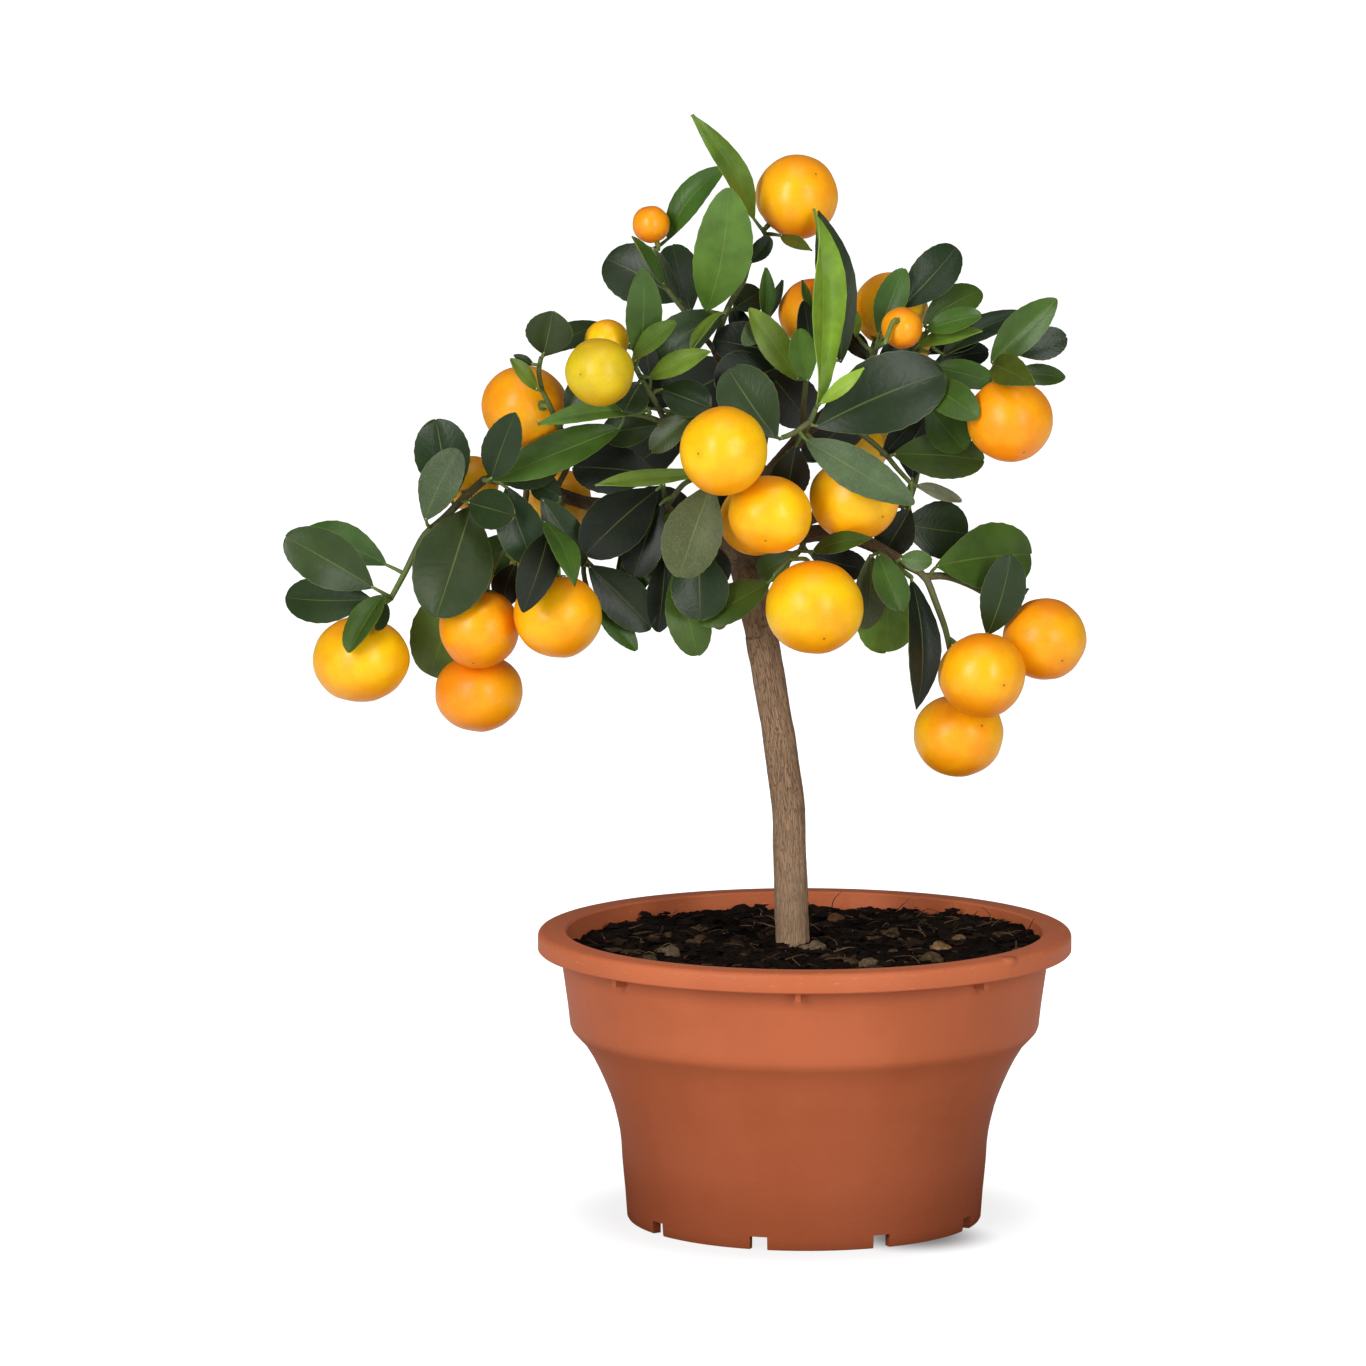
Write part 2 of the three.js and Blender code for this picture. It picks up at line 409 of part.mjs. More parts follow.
// Three points at each station of the blade: left edge, midrib and right edge.
function bladeGrid(leaf, grow = 0) {
  const { foot, tip, width, fold, arch } = leaf;
  const { ahead, face, side } = leafFrame(foot, tip, leaf.roll);
  const length = foot.distanceTo(tip);
  return STATIONS.map(([t, share], i) => {
    const end = i === 0 ? -grow : i === STATIONS.length - 1 ? grow : 0;
    const mid = foot.clone().addScaledVector(ahead, length * t + end)
      .addScaledVector(face, arch * length * 4 * t * (1 - t));
    const half = Math.max(share * width, 0.9) + grow;
    const out = half * Math.cos(fold);
    const up = half * Math.sin(fold);
    return [-1, 0, 1].map((s) => mid.clone()
      .addScaledVector(side, s * out).addScaledVector(face, Math.abs(s) * up));
  });
}

// Rows of points along a leaf, each with the way its thickness goes: the petiole's root, the
// blade's foot, the stations with a midrib, and the tip.
function leafRows(leaf, grow) {
  const { ahead, face, side } = leafFrame(leaf.foot, leaf.tip, leaf.roll);
  const [first, ...middle] = bladeGrid(leaf, grow);
  const last = middle.pop();
  const stem = leaf.foot.clone().sub(leaf.root).normalize();
  const turn = new THREE.Quaternion().setFromUnitVectors(ahead, stem);
  const across = side.clone().applyQuaternion(turn).multiplyScalar(PETIOLE + grow);
  const thick = face.clone().applyQuaternion(turn).multiplyScalar(PETIOLE * 0.8 + grow);
  const lift = face.clone().multiplyScalar((BLADE / 2 + grow) / Math.cos(leaf.fold));
  const root = [leaf.root.clone().sub(across), leaf.root.clone().add(across)];
  return [{ points: root, lift: thick }, ...[[first[0], first[2]], ...middle, [last[0], last[2]]]
    .map((points) => ({ points, lift }))];
}

// Triangles between two rows of two or three points each.
function strip(a, b) {
  if (a.length === 2 && b.length === 2) return [[a[0], a[1], b[1]], [a[0], b[1], b[0]]];
  if (a.length === 2) return [[a[0], b[1], b[0]], [a[0], a[1], b[1]], [a[1], b[2], b[1]]];
  if (b.length === 2) return [[a[0], a[1], b[0]], [a[1], b[1], b[0]], [a[1], a[2], b[1]]];
  return [[a[0], a[1], b[1]], [a[0], b[1], b[0]], [a[1], a[2], b[1]], [a[2], b[2], b[1]]];
}

// A leaf with its petiole, as one thin solid.
function leafSolid(leaf, grow = 0) {
  const rows = leafRows(leaf, grow);
  const over = rows.flatMap(({ points, lift }) => points.map((p) => p.clone().add(lift)));
  const below = rows.flatMap(({ points, lift }) => points.map((p) => p.clone().sub(lift)));
  const under = over.length;
  let next = 0;
  const ids = rows.map(({ points }) => points.map(() => next++));
  const top = ids.slice(1).flatMap((row, i) => strip(ids[i], row));
  const faces = top.flatMap(([a, b, c]) => [[a, b, c], [under + a, under + c, under + b]]);
  const left = ids.map((row) => row[0]);
  const right = ids.map((row) => row[row.length - 1]);
  const rim = [...right, ...left.reverse()];
  rim.forEach((a, i) => {
    const b = rim[(i + 1) % rim.length];
    faces.push([b, a, under + a], [b, under + a, under + b]);
  });
  return solid([...over, ...below], faces);
}

// Triangles and edges of a blade's middle surface, for the crossing test.
function skeleton(leaf) {
  const grid = bladeGrid(leaf);
  const triangles = [];
  const edges = [[leaf.root, leaf.foot]];
  for (let i = 0; i < grid.length; i++) {
    for (let j = 0; j < 2; j++) {
      edges.push([grid[i][j], grid[i][j + 1]]);
      if (i + 1 === grid.length) continue;
      const [a, b, c, d] = [grid[i][j], grid[i][j + 1], grid[i + 1][j + 1], grid[i + 1][j]];
      triangles.push([a, b, c], [a, c, d]);
    }
    if (i + 1 < grid.length) for (let j = 0; j < 3; j++) edges.push([grid[i][j], grid[i + 1][j]]);
  }
  const points = grid.flat();
  const centre = along(leaf.foot, leaf.tip, 0.5);
  const reach = Math.max(...[leaf.root, ...points].map((p) => p.distanceTo(centre)));
  const { face } = leafFrame(leaf.foot, leaf.tip, leaf.roll);
  return { triangles, edges, centre, reach, face, points };
}

function pierces(from, to, triangle) {
  const [a, b, c] = triangle;
  const line = to.clone().sub(from);
  const ab = b.clone().sub(a);
  const ac = c.clone().sub(a);
  const p = line.clone().cross(ac);
  const scale = ab.dot(p);
  if (Math.abs(scale) < 1e-9) return false;
  const s = from.clone().sub(a);
  const u = s.dot(p) / scale;
  if (u < 0 || u > 1) return false;
  const q = s.cross(ab);
  const v = line.dot(q) / scale;
  if (v < 0 || u + v > 1) return false;
  const t = ac.dot(q) / scale;
  return t >= 0 && t <= 1;
}

// Counts the places where two leaves cross or come too close.
function crossings(a, b) {
  if (a.centre.distanceTo(b.centre) > a.reach + b.reach + CLEAR) return 0;
  let count = 0;
  for (const [one, two] of [[a, b], [b, a]]) {
    for (const shift of [0, CLEAR, -CLEAR]) {
      for (const [from, to] of one.edges) {
        const p = from.clone().addScaledVector(one.face, shift);
        const q = to.clone().addScaledVector(one.face, shift);
        for (const triangle of two.triangles) if (pierces(p, q, triangle)) count++;
      }
    }
  }
  return count;
}

function fruitHits(form, fruits) {
  let count = 0;
  for (const fruit of fruits) {
    const keep = fruit.radius + CLEAR;
    if (form.centre.distanceTo(fruit.centre) > form.reach + keep) continue;
    for (const [a, b, c] of form.triangles) {
      const middle = new THREE.Triangle(a, b, c).getMidpoint(v3());
      if (middle.distanceTo(fruit.centre) < keep) count++;
    }
    for (const p of form.points) if (p.distanceTo(fruit.centre) < keep) count++;
  }
  return count;
}

function woodLines(paths, radius) {
  return paths.flatMap((points) => points.slice(1).map((to, i) => ({ from: points[i], to, radius })));
}

function woodHits(form, lines) {
  let count = 0;
  for (const { from, to, radius } of lines) {
    for (const triangle of form.triangles) if (pierces(from, to, triangle)) count++;
    for (const p of form.points) if (nearestOn([[from, to]], p).distanceTo(p) < radius + CLEAR) count++;
  }
  return count;
}

// Depth shifts of foot and tip that are tried in turn until a leaf is clear.
const BENDS = [
  [0, 0], [0, 5], [0, -5], [2, 10], [-2, -10], [3, 15], [-3, -15], [5, 20], [-5, -20], [6, 26], [-6, -26]];

function leafFrom(row, paths, shift) {
  const [fx, fz, fy, tx, tz, ty, width, roll, fold, arch] = row;
  const foot = sight(fx, fz, fy + shift[0]);
  const tip = sight(tx, tz, ty + shift[1]);
  return { foot, tip, width, roll: radians(roll), fold: radians(fold), arch, root: nearestOn(paths, foot) };
}

function insideCrown(x, z) {
  let inside = false;
  for (let i = 0, j = CROWN.length - 1; i < CROWN.length; j = i++) {
    const [xi, zi] = CROWN[i];
    const [xj, zj] = CROWN[j];
    if ((zi > z) !== (zj > z) && x < ((xj - xi) * (z - zi)) / (zj - zi) + xi) inside = !inside;
  }
  return inside && GAPS.every(([gx, gz, r]) => Math.hypot(x - gx, z - gz) > r);
}

// A leaf drawn at random from a stem.
function drawnLeaf(draw, paths) {
  const between = ([low, high]) => low + draw() * (high - low);
  const points = paths[Math.floor(draw() * paths.length)];
  const step = Math.floor(draw() * (points.length - 1));
  const root = along(points[step], points[step + 1], draw());
  const turn = between([0, 2 * Math.PI]);
  const depth = between(FILL_LEAF.depth);
  const way = v3(Math.cos(turn), depth, Math.sin(turn) * 0.8 - 0.1).normalize();
  const length = between(FILL_LEAF.length);
  const foot = root.clone().addScaledVector(way, between(FILL_LEAF.petiole));
  const tip = foot.clone().addScaledVector(way, length);
  const width = length * between(FILL_LEAF.slimness);
  const roll = radians(between(FILL_LEAF.roll));
  const fold = radians(between(FILL_LEAF.fold));
  return { foot, tip, width, roll, fold, arch: between(FILL_LEAF.arch), root };
}

function placeLeaves(stems, fruits, limbLines) {
  const forms = [];
  const lines = stems.map((stem) => woodLines(stem.paths, stem.foot));
  for (const [own, stem] of stems.entries()) {
    const others = [...limbLines, ...lines.filter((_, i) => i !== own).flat()];
    stem.leaves = [];
    for (const row of stem.rows) {
      let best = null;
      for (const shift of BENDS) {
        const leaf = leafFrom(row, stem.paths, shift);
        const form = skeleton(leaf);
        const bad = forms.reduce((sum, other) => sum + crossings(form, other), 0)
          + fruitHits(form, fruits) + woodHits(form, others);
        if (!best || bad < best.bad) best = { leaf, form, bad };
        if (bad === 0) break;
      }
      stem.leaves.push(best.leaf);
      forms.push(best.form);
    }
  }
  const draw = makeDraw(FILL_SEED);
  for (const [own, stem] of stems.entries()) {
    if (stem.rows.length > 0) continue;
    const others = [...limbLines, ...lines.filter((_, i) => i !== own).flat()];
    let room = FILL_LEAVES;
    for (let i = 0; i < FILL_TRIES && room > 0; i++) {
      const leaf = drawnLeaf(draw, stem.paths);
      const form = skeleton(leaf);
      const shown = form.points.map(elevation).some(([x, z]) => !insideCrown(x, z));
      if (shown || fruitHits(form, fruits) || woodHits(form, others)) continue;
      if (forms.some((other) => crossings(form, other))) continue;
      stem.leaves.push(leaf);
      forms.push(form);
      room--;
    }
  }
}

// ---------------------------------------------------------------- fruits
function ellipsoid(centre, width, height, grow = 0) {
  const points = [];
  for (let i = 0; i <= FRUIT_RINGS; i++) {
    const polar = (Math.PI * i) / FRUIT_RINGS;
    const out = (width / 2 + grow) * Math.sin(polar);
    const up = -(height / 2 + grow) * Math.cos(polar);
    points.push(new THREE.Vector2(out, up));
  }
  return lathe(points, FRUIT_SIDES, centre);
}

// A profile that starts and ends on the axis, turned about Z.
function lathe(profile, sides, centre = v3(0, 0, 0)) {
  const vertices = [v3(0, 0, profile[0].y)];
  const inner = profile.slice(1, -1);
  inner.forEach(({ x, y }) => {
    for (let k = 0; k < sides; k++) {
      const turn = (2 * Math.PI * k) / sides;
      vertices.push(v3(x * Math.cos(turn), x * Math.sin(turn), y));
    }
  });
  vertices.push(v3(0, 0, profile[profile.length - 1].y));
  const faces = [];
  const top = vertices.length - 1;
  const at = (ring, k) => 1 + ring * sides + (k % sides);
  for (let k = 0; k < sides; k++) {
    faces.push([0, at(0, k + 1), at(0, k)], [top, at(inner.length - 1, k), at(inner.length - 1, k + 1)]);
    for (let ring = 0; ring + 1 < inner.length; ring++) {
      faces.push([at(ring, k), at(ring, k + 1), at(ring + 1, k + 1)]);
      faces.push([at(ring, k), at(ring + 1, k + 1), at(ring + 1, k)]);
    }
  }
  return solid(vertices.map((p) => p.add(centre)), faces);
}

function stalk(fruit, grow = 0) {
  const bend = fruit.centre.clone().addScaledVector(fruit.way, fruit.radius + STALK_REACH);
  const middle = along(bend, fruit.root, 0.15);
  const inside = fruit.centre.clone().addScaledVector(fruit.way, fruit.radius * 0.8);
  const thick = STALK + grow;
  return tube([fruit.root, middle, inside], [thick, thick, thick * 1.3], TWIG_SIDES);
}

// ---------------------------------------------------------------- pot and soil
function turned(angle) {
  return new THREE.Matrix4().makeRotationZ(radians(angle) - Math.PI / 2);
}

function block(length, width, low, high, start, angle) {
  const box = new THREE.BoxGeometry(length, width, high - low);
  box.translate(start + length / 2, 0, (low + high) / 2);
  box.applyMatrix4(turned(angle));
  const index = box.getIndex().array;
  const position = box.getAttribute("position");
  const corners = new Map();
  const vertices = [];
  const ids = Array.from({ length: position.count }, (_, i) => {
    const p = v3().fromBufferAttribute(position, i);
    const key = p.toArray().map((n) => n.toFixed(4)).join();
    if (!corners.has(key)) corners.set(key, vertices.push(p) - 1);
    return corners.get(key);
  });
  const faces = [];
  for (let i = 0; i < index.length; i += 3) faces.push([ids[index[i]], ids[index[i + 1]], ids[index[i + 2]]]);
  return solid(vertices, faces);
}

// Radius and height up the inside of the wall, from the floor to just under the rim.
function wallInside() {
  return [[POT_OUTSIDE[0][0] - WALL, FLOOR], ...POT_OUTSIDE.slice(2, -1).map(([r, z]) => [r - WALL, z])];
}

function makePot() {
  const outside = POT_OUTSIDE.map(([r, z]) => new THREE.Vector2(r, z));
  const neck = outside[outside.length - 1];
  const inside = wallInside().reverse().map(([r, z]) => new THREE.Vector2(r, z));
  const round = [0, 90].map((turn) => new THREE.Vector2(
    RIM_RADIUS - RIM_ROUND + RIM_ROUND * Math.cos(radians(turn)),
    RIM_TOP - RIM_ROUND + RIM_ROUND * Math.sin(radians(turn))));
  const profile = [
    new THREE.Vector2(0, 0), ...outside,
    new THREE.Vector2(RIM_RADIUS - WALL, neck.y), new THREE.Vector2(RIM_RADIUS - WALL, SKIRT_BOTTOM),
    new THREE.Vector2(RIM_RADIUS, SKIRT_BOTTOM), ...round,
    new THREE.Vector2(neck.x - WALL, RIM_TOP), ...inside, new THREE.Vector2(0, FLOOR)];
  let body = lathe(profile, POT_SIDES);
  const reach = RIM_RADIUS - WALL / 2 - RIB_FOOT;
  for (let i = 0; i < RIBS; i++) {
    const angle = RIB_TURN + (i * 360) / RIBS;
    body = body.add(block(reach, RIB_THICK, SKIRT_BOTTOM - RIB_DROP, neck.y + 1, RIB_FOOT, angle));
  }
  for (let i = 0; i < NOTCHES; i++) {
    const angle = NOTCH_TURN + (i * 360) / NOTCHES;
    body = body.subtract(block(NOTCH_DEPTH, NOTCH_WIDTH, -1, NOTCH_HEIGHT, NOTCH_START, angle));
  }
  return body;
}

function soilHeight(x, y) {
  const swell = ([sx, sy, rise, spread]) =>
    rise * Math.exp(-((x - sx) ** 2 + (y - sy) ** 2) / (2 * spread ** 2));
  const crumbs = Math.sin(x * 0.21 + 1.3) * Math.cos(y * 0.19) + 0.6 * Math.sin(x * 0.43 - y * 0.37);
  return SOIL_LEVEL + SWELLS.map(swell).reduce((sum, rise) => sum + rise) + SOIL_RELIEF * crumbs;
}

function makeSoil() {
  const clear = (r) => r * Math.cos(Math.PI / POT_SIDES) - GAP;
  const profile = wallInside().map(([r, z]) => [clear(r), Math.max(z, FLOOR + GAP)]);
  const wallTop = profile[profile.length - 1][0];
  const vertices = [v3(0, 0, FLOOR + GAP)];
  const ring = (r, height) => {
    for (let k = 0; k < SOIL_SIDES; k++) {
      const turn = (2 * Math.PI * k) / SOIL_SIDES;
      const [x, y] = [r * Math.cos(turn), r * Math.sin(turn)];
      vertices.push(v3(x, y, height ?? soilHeight(x, y)));
    }
  };
  profile.forEach(([r, z]) => ring(r, z));
  for (let i = SOIL_RINGS; i > 0; i--) ring((wallTop * i) / SOIL_RINGS);
  vertices.push(v3(0, 0, soilHeight(0, 0)));
  const rings = profile.length + SOIL_RINGS;
  const faces = [];
  const top = vertices.length - 1;
  const at = (i, k) => 1 + i * SOIL_SIDES + (k % SOIL_SIDES);
  for (let k = 0; k < SOIL_SIDES; k++) {
    faces.push([0, at(0, k + 1), at(0, k)], [top, at(rings - 1, k), at(rings - 1, k + 1)]);
    for (let i = 0; i + 1 < rings; i++) {
      faces.push([at(i, k), at(i, k + 1), at(i + 1, k + 1)], [at(i, k), at(i + 1, k + 1), at(i + 1, k)]);
    }
  }
  const stones = STONES.map(([x, y, r, rise], i) => {
    const height = soilHeight(x, y);
    const shape = [[0, -r], [r * 0.9, rise * 0.1], [0, rise]];
    return lathe(shape.map(([a, b]) => new THREE.Vector2(a, b)), 5 + (i % 3), v3(x, y, height));
  });
  return join([solid(vertices, faces), ...stones]);
}

// ---------------------------------------------------------------- assembly
// The solid without the loose crumbs that a cut may leave.
function mesh(name, body, colour, roughness) {
  const parts = body.simplify(SMOOTH).decompose().sort((a, b) => b.volume() - a.volume());
  const { vertProperties, triVerts } = parts[0].getMesh();
  const geometry = new THREE.BufferGeometry();
  geometry.setAttribute("position", new THREE.BufferAttribute(vertProperties, 3));
  geometry.setIndex(new THREE.BufferAttribute(triVerts, 1));
  geometry.computeVertexNormals();
  const made = new THREE.Mesh(geometry, new THREE.MeshStandardMaterial({ color: colour, roughness }));
  made.name = name;
  return made;
}

const TONES = [0x2c4426, 0x4c6b2c, 0x7da043, 0x6a7f58, 0x1d2418, 0x5f6e22, 0x8a8f7c, 0x374b2d];
const tree = new THREE.Group();

const limbs = TRUNK.map(([foot, end, path]) => ({ foot, end, points: twigPoints(path) }));
const limb = (grow) => limbs.map(({ foot, end, points }, i) =>
  tube(points, taper(points, foot, end, grow), i < 2 ? TRUNK_SIDES : LIMB_SIDES));
const trunk = join(limb(0));
const trunkRoom = join(limb(GAP));

tree.add(mesh("pot", makePot(), 0xc4714a, 0.5));
tree.add(mesh("soil", cut(makeSoil(), [trunkRoom]), 0x241a14, 0.95));
tree.add(mesh("trunk", trunk, 0x786250, 0.85));

const stems = STEMS.map(([name, foot, end, twigs, rows]) => ({
  name, rows, foot, end, paths: twigs.map(twigPoints) }));
const wood = (stem, grow) => join(stem.paths.map((points) =>
  tube(points, taper(points, stem.foot, stem.end, grow), TWIG_SIDES)));
stems.forEach((stem, i) => {
  stem.room = wood(stem, GAP);
  stem.wood = cut(wood(stem, 0), [trunkRoom, ...stems.slice(0, i).map((other) => other.room)]);
});

const limbPaths = limbs.map(({ points }) => points);
const fruits = FRUITS.map(([name, bearer, x, z, y, width, height, wx, wy, wz]) => {
  const centre = sight(x, z, y);
  const way = v3(wx, wy, wz).normalize();
  const radius = (width + height) / 4;
  const paths = bearer === "trunk" ? limbPaths : stems.find((stem) => stem.name === bearer).paths;
  const root = nearestOn(paths, centre.clone().addScaledVector(way, radius + STALK_REACH));
  return { name, centre, way, radius, width, height, root };
});
placeLeaves(stems, fruits, limbs.flatMap(({ points, foot }) => woodLines([points], foot)));

const woodRooms = [trunkRoom, ...stems.map((stem) => stem.room)];
const fruitRooms = [];
fruits.forEach((fruit) => {
  const body = join([ellipsoid(fruit.centre, fruit.width, fruit.height), stalk(fruit)]);
  const cleared = cut(body, [...woodRooms, ...fruitRooms]);
  tree.add(mesh(fruit.name, cleared, 0xf6a81c, 0.4));
  fruitRooms.push(join([ellipsoid(fruit.centre, fruit.width, fruit.height, GAP), stalk(fruit, GAP)]));
});

const leafRooms = [];
stems.forEach((stem) => {
  const others = stems.filter((other) => other !== stem).map((other) => other.room);
  const foliage = join(stem.leaves.map((leaf) => leafSolid(leaf)));
  const cleared = cut(foliage, [trunkRoom, ...others, ...fruitRooms, ...leafRooms]);
  tree.add(mesh(stem.name, join([stem.wood, cleared]), TONES[stem.rows[0]?.[10] ?? 0], 0.4));
  leafRooms.push(join(stem.leaves.map((leaf) => leafSolid(leaf, GROW))));
});

export default tree;
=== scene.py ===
"""A calamondin tree in its growers' pot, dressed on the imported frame: metres, +Z up, -Y the front."""

import math
import random

import bmesh
import bpy
import numpy as np
from mathutils import Matrix, Quaternion, Vector, noise


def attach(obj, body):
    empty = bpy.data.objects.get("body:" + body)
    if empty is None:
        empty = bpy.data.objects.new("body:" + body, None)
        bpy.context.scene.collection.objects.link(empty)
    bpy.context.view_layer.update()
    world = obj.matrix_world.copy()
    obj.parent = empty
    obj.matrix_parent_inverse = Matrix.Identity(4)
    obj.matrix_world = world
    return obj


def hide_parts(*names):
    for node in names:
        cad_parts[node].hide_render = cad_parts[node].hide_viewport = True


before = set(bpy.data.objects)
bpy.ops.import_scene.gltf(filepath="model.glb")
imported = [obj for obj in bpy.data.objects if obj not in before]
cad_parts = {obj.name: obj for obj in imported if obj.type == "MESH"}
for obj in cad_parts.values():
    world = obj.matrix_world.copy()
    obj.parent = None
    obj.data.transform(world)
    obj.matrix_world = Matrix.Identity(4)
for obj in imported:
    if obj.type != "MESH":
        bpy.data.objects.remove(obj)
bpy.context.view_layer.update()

# ---------------------------------------------------------------- camera
# A long lens at standing height looks slightly down on the whole plant. The plant is drawn in
# millimetres, on the upright plane through the pot's middle, and moved along the sight lines.
MM = 0.001
EYE = Vector((0, -3000, 621))
PITCH = math.radians(7.384)
YAW = math.radians(1.0006)
LENS = 185.7
SENSOR = 36
FAR_CLIP = 100  # metres


def placed(name, data):
    """A new object in the scene, at the origin."""
    made = bpy.data.objects.new(name, data)
    bpy.context.scene.collection.objects.link(made)
    return made


camera = placed("camera", bpy.data.cameras.new("camera"))
camera.data.lens = LENS
camera.data.sensor_width = SENSOR
camera.data.clip_end = FAR_CLIP
camera.location = EYE * MM
looking = Vector((-math.sin(YAW) * math.cos(PITCH), math.cos(YAW) * math.cos(PITCH), -math.sin(PITCH)))
camera.rotation_euler = looking.to_track_quat("-Z", "Y").to_euler()
bpy.context.scene.camera = camera


def sight(x, z, y):
    """The point at depth y that covers (x, z) of the drawing plane, in millimetres."""
    return EYE + (Vector((x, 0, z)) - EYE) * ((y - EYE.y) / -EYE.y)


def shown_at(points):
    """Where points in space show on the drawing plane, as rows of x and z."""
    eye = np.array(EYE)
    reach = -eye[1] / (points[:, 1] - eye[1])
    return (eye + (points - eye) * reach[:, None])[:, [0, 2]]


# ---------------------------------------------------------------- pot
# A growers' pot of terracotta-coloured polypropylene, injection moulded in one shot: a tapered
# wall with a crease under its wide upper band, a flat rim ring with a short skirt, eight gussets
# under the rim and nine drainage notches cut through the foot's edge.
POT_STEPS = 160
WALL = 2.0
POT_OUTSIDE = [  # radius, height
    [76.2, 0], [76.6, 0.7], [76.9, 5], [77.4, 12], [78.0, 18], [78.7, 26], [79.1, 33], [79.7, 38],
    [80.7, 43], [82.3, 49.5], [84.0, 54.5], [86.2, 60], [88.5, 65.2], [91.4, 71], [95.0, 76.8],
    [98.6, 80.6], [100.4, 82.6], [101.2, 84.6], [101.5, 87.5], [102.1, 93], [103.2, 101],
    [104.2, 108], [104.6, 123.2]]
RIM_RADIUS = 115.0
RIM_TOP = 125.3
RIM_ROUND = 2.4
ROUND_POINTS = 6
EDGE = 0.5  # bevel of the foot and of the skirt
LIP_EDGE = 0.8
SKIRT_BOTTOM = 116.8
FLOOR = 8.2
FOOT_RISE = 5.9  # hollow under the floor, inside the foot ring
FOOT_RING = 72.6  # its inner radius
RIBS = 8
RIB_THICK = 2.2
RIB_DRAFT = 0.4  # how much thinner a gusset is inside the skirt
RIB_SETBACK = 0.3  # over the skirt's edge
RIB_BITE = 1.0  # into the rim's ring
RIB_DROP = 4.0
RIB_FOOT = 103.4
RIB_TOOTH = 110.6  # how far out a gusset hangs under the skirt
RIB_TURN = -1.4
NOTCHES = 9
NOTCH_REACH = (71, 80)  # nearest and farthest from the axis
NOTCH_WIDTH = 7.6
NOTCH_HEIGHT = 5.6
NOTCH_TURN = -14.5
BLISTER = [86.0, -73.0, 125.0]  # moulding mark on the rim
BLISTER_SIZE = [5.0, 1.5]  # radius of its edge and of its middle


def srgb(*channels):
    """A colour as picked on a screen, 0 to 255, as Blender's linear colour."""
    return (*[((c / 255 + 0.055) / 1.055) ** 2.4 if c > 10 else c / 3295 for c in channels], 1)


def new_material(name, roughness, specular=0.5):
    made = bpy.data.materials.new(name)
    made.use_nodes = True
    shader = made.node_tree.nodes["Principled BSDF"]
    shader.inputs["Roughness"].default_value = roughness
    shader.inputs["Specular IOR Level"].default_value = specular
    return made, made.node_tree, shader


def plug(tree, socket, value):
    """Links a socket or a node's first output to an input, or sets the input's value."""
    if isinstance(value, bpy.types.Node):
        value = value.outputs[0]
    if isinstance(value, bpy.types.NodeSocket):
        tree.links.new(value, socket)
    else:
        socket.default_value = value


def add(tree, kind, *values, **settings):
    """A shader node. Values fill its inputs in order; a capital marks an input, else a property."""
    made = tree.nodes.new("ShaderNode" + kind)
    for key, value in settings.items():
        if key[0].islower():
            setattr(made, key, value)
    for socket, value in zip(made.inputs, values):
        plug(tree, socket, value)
    for key, value in settings.items():
        if key[0].isupper():
            plug(tree, made.inputs[key.replace("_", " ")], value)
    return made


def maths(tree, operation, *values):
    return add(tree, "Math", *values, operation=operation)


def times(tree, first, second):
    return maths(tree, "MULTIPLY", first, second)


def less(tree, first, second):
    return maths(tree, "SUBTRACT", first, second)


def distance(tree, first, second):
    return add(tree, "VectorMath", first, second, operation="DISTANCE").outputs["Value"]


def attribute(tree, name, output="Vector"):
    return add(tree, "Attribute", attribute_name=name).outputs[output]


def dress(tree, shader, colour, normal):
    plug(tree, shader.inputs["Base Color"], colour)
    plug(tree, shader.inputs["Normal"], normal)


def spread(tree, value, low, high, to_low=0.0, to_high=1.0):
    """A smooth step of a value between two limits, given out between two others."""
    return add(tree, "MapRange", value, low, high, to_low, to_high, interpolation_type="SMOOTHSTEP")


def mix(tree, share, first, second, blend="MIX"):
    made = add(tree, "Mix", data_type="RGBA", blend_type=blend)
    plug(tree, made.inputs[0], share)
    plug(tree, made.inputs[6], first)
    plug(tree, made.inputs[7], second)
    return made.outputs[2]


def whereabouts(tree):
    """The place on a piece, in metres."""
    return add(tree, "TexCoord").outputs["Object"]


def place_of(tree, stretch=(1, 1, 1)):
    """The place on a piece, stretched along each axis."""
    return add(tree, "Mapping", Vector=whereabouts(tree), Scale=stretch)


def speckle(tree, place, scale, detail=4.0, roughness=0.55):
    return add(tree, "TexNoise", Vector=place, Scale=scale, Detail=detail, Roughness=roughness)


def bump(tree, height, strength, distance, under=None):
    made = add(tree, "Bump", Strength=strength, Distance=distance, Height=height)
    if under:
        plug(tree, made.inputs["Normal"], under)
    return made


def object_of(bm, name):
    """Puts a drawing into an object of its own."""
    mesh = bpy.data.meshes.new(name)
    bm.to_mesh(mesh)
    bm.free()
    return placed(name, mesh)


def piece_of(bm, name, material, slot, *nodes, sharp):
    """Turns a drawing in millimetres into a finished piece that stands for the CAD nodes."""
    bmesh.ops.scale(bm, verts=bm.verts[:], vec=(MM, MM, MM))
    made = object_of(bm, name)
    made.data.materials.append(material)
    made.data.shade_smooth()
    made.data.set_sharp_from_angle(angle=math.radians(sharp))
    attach(made, "root")
    if nodes:
        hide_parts(*nodes)


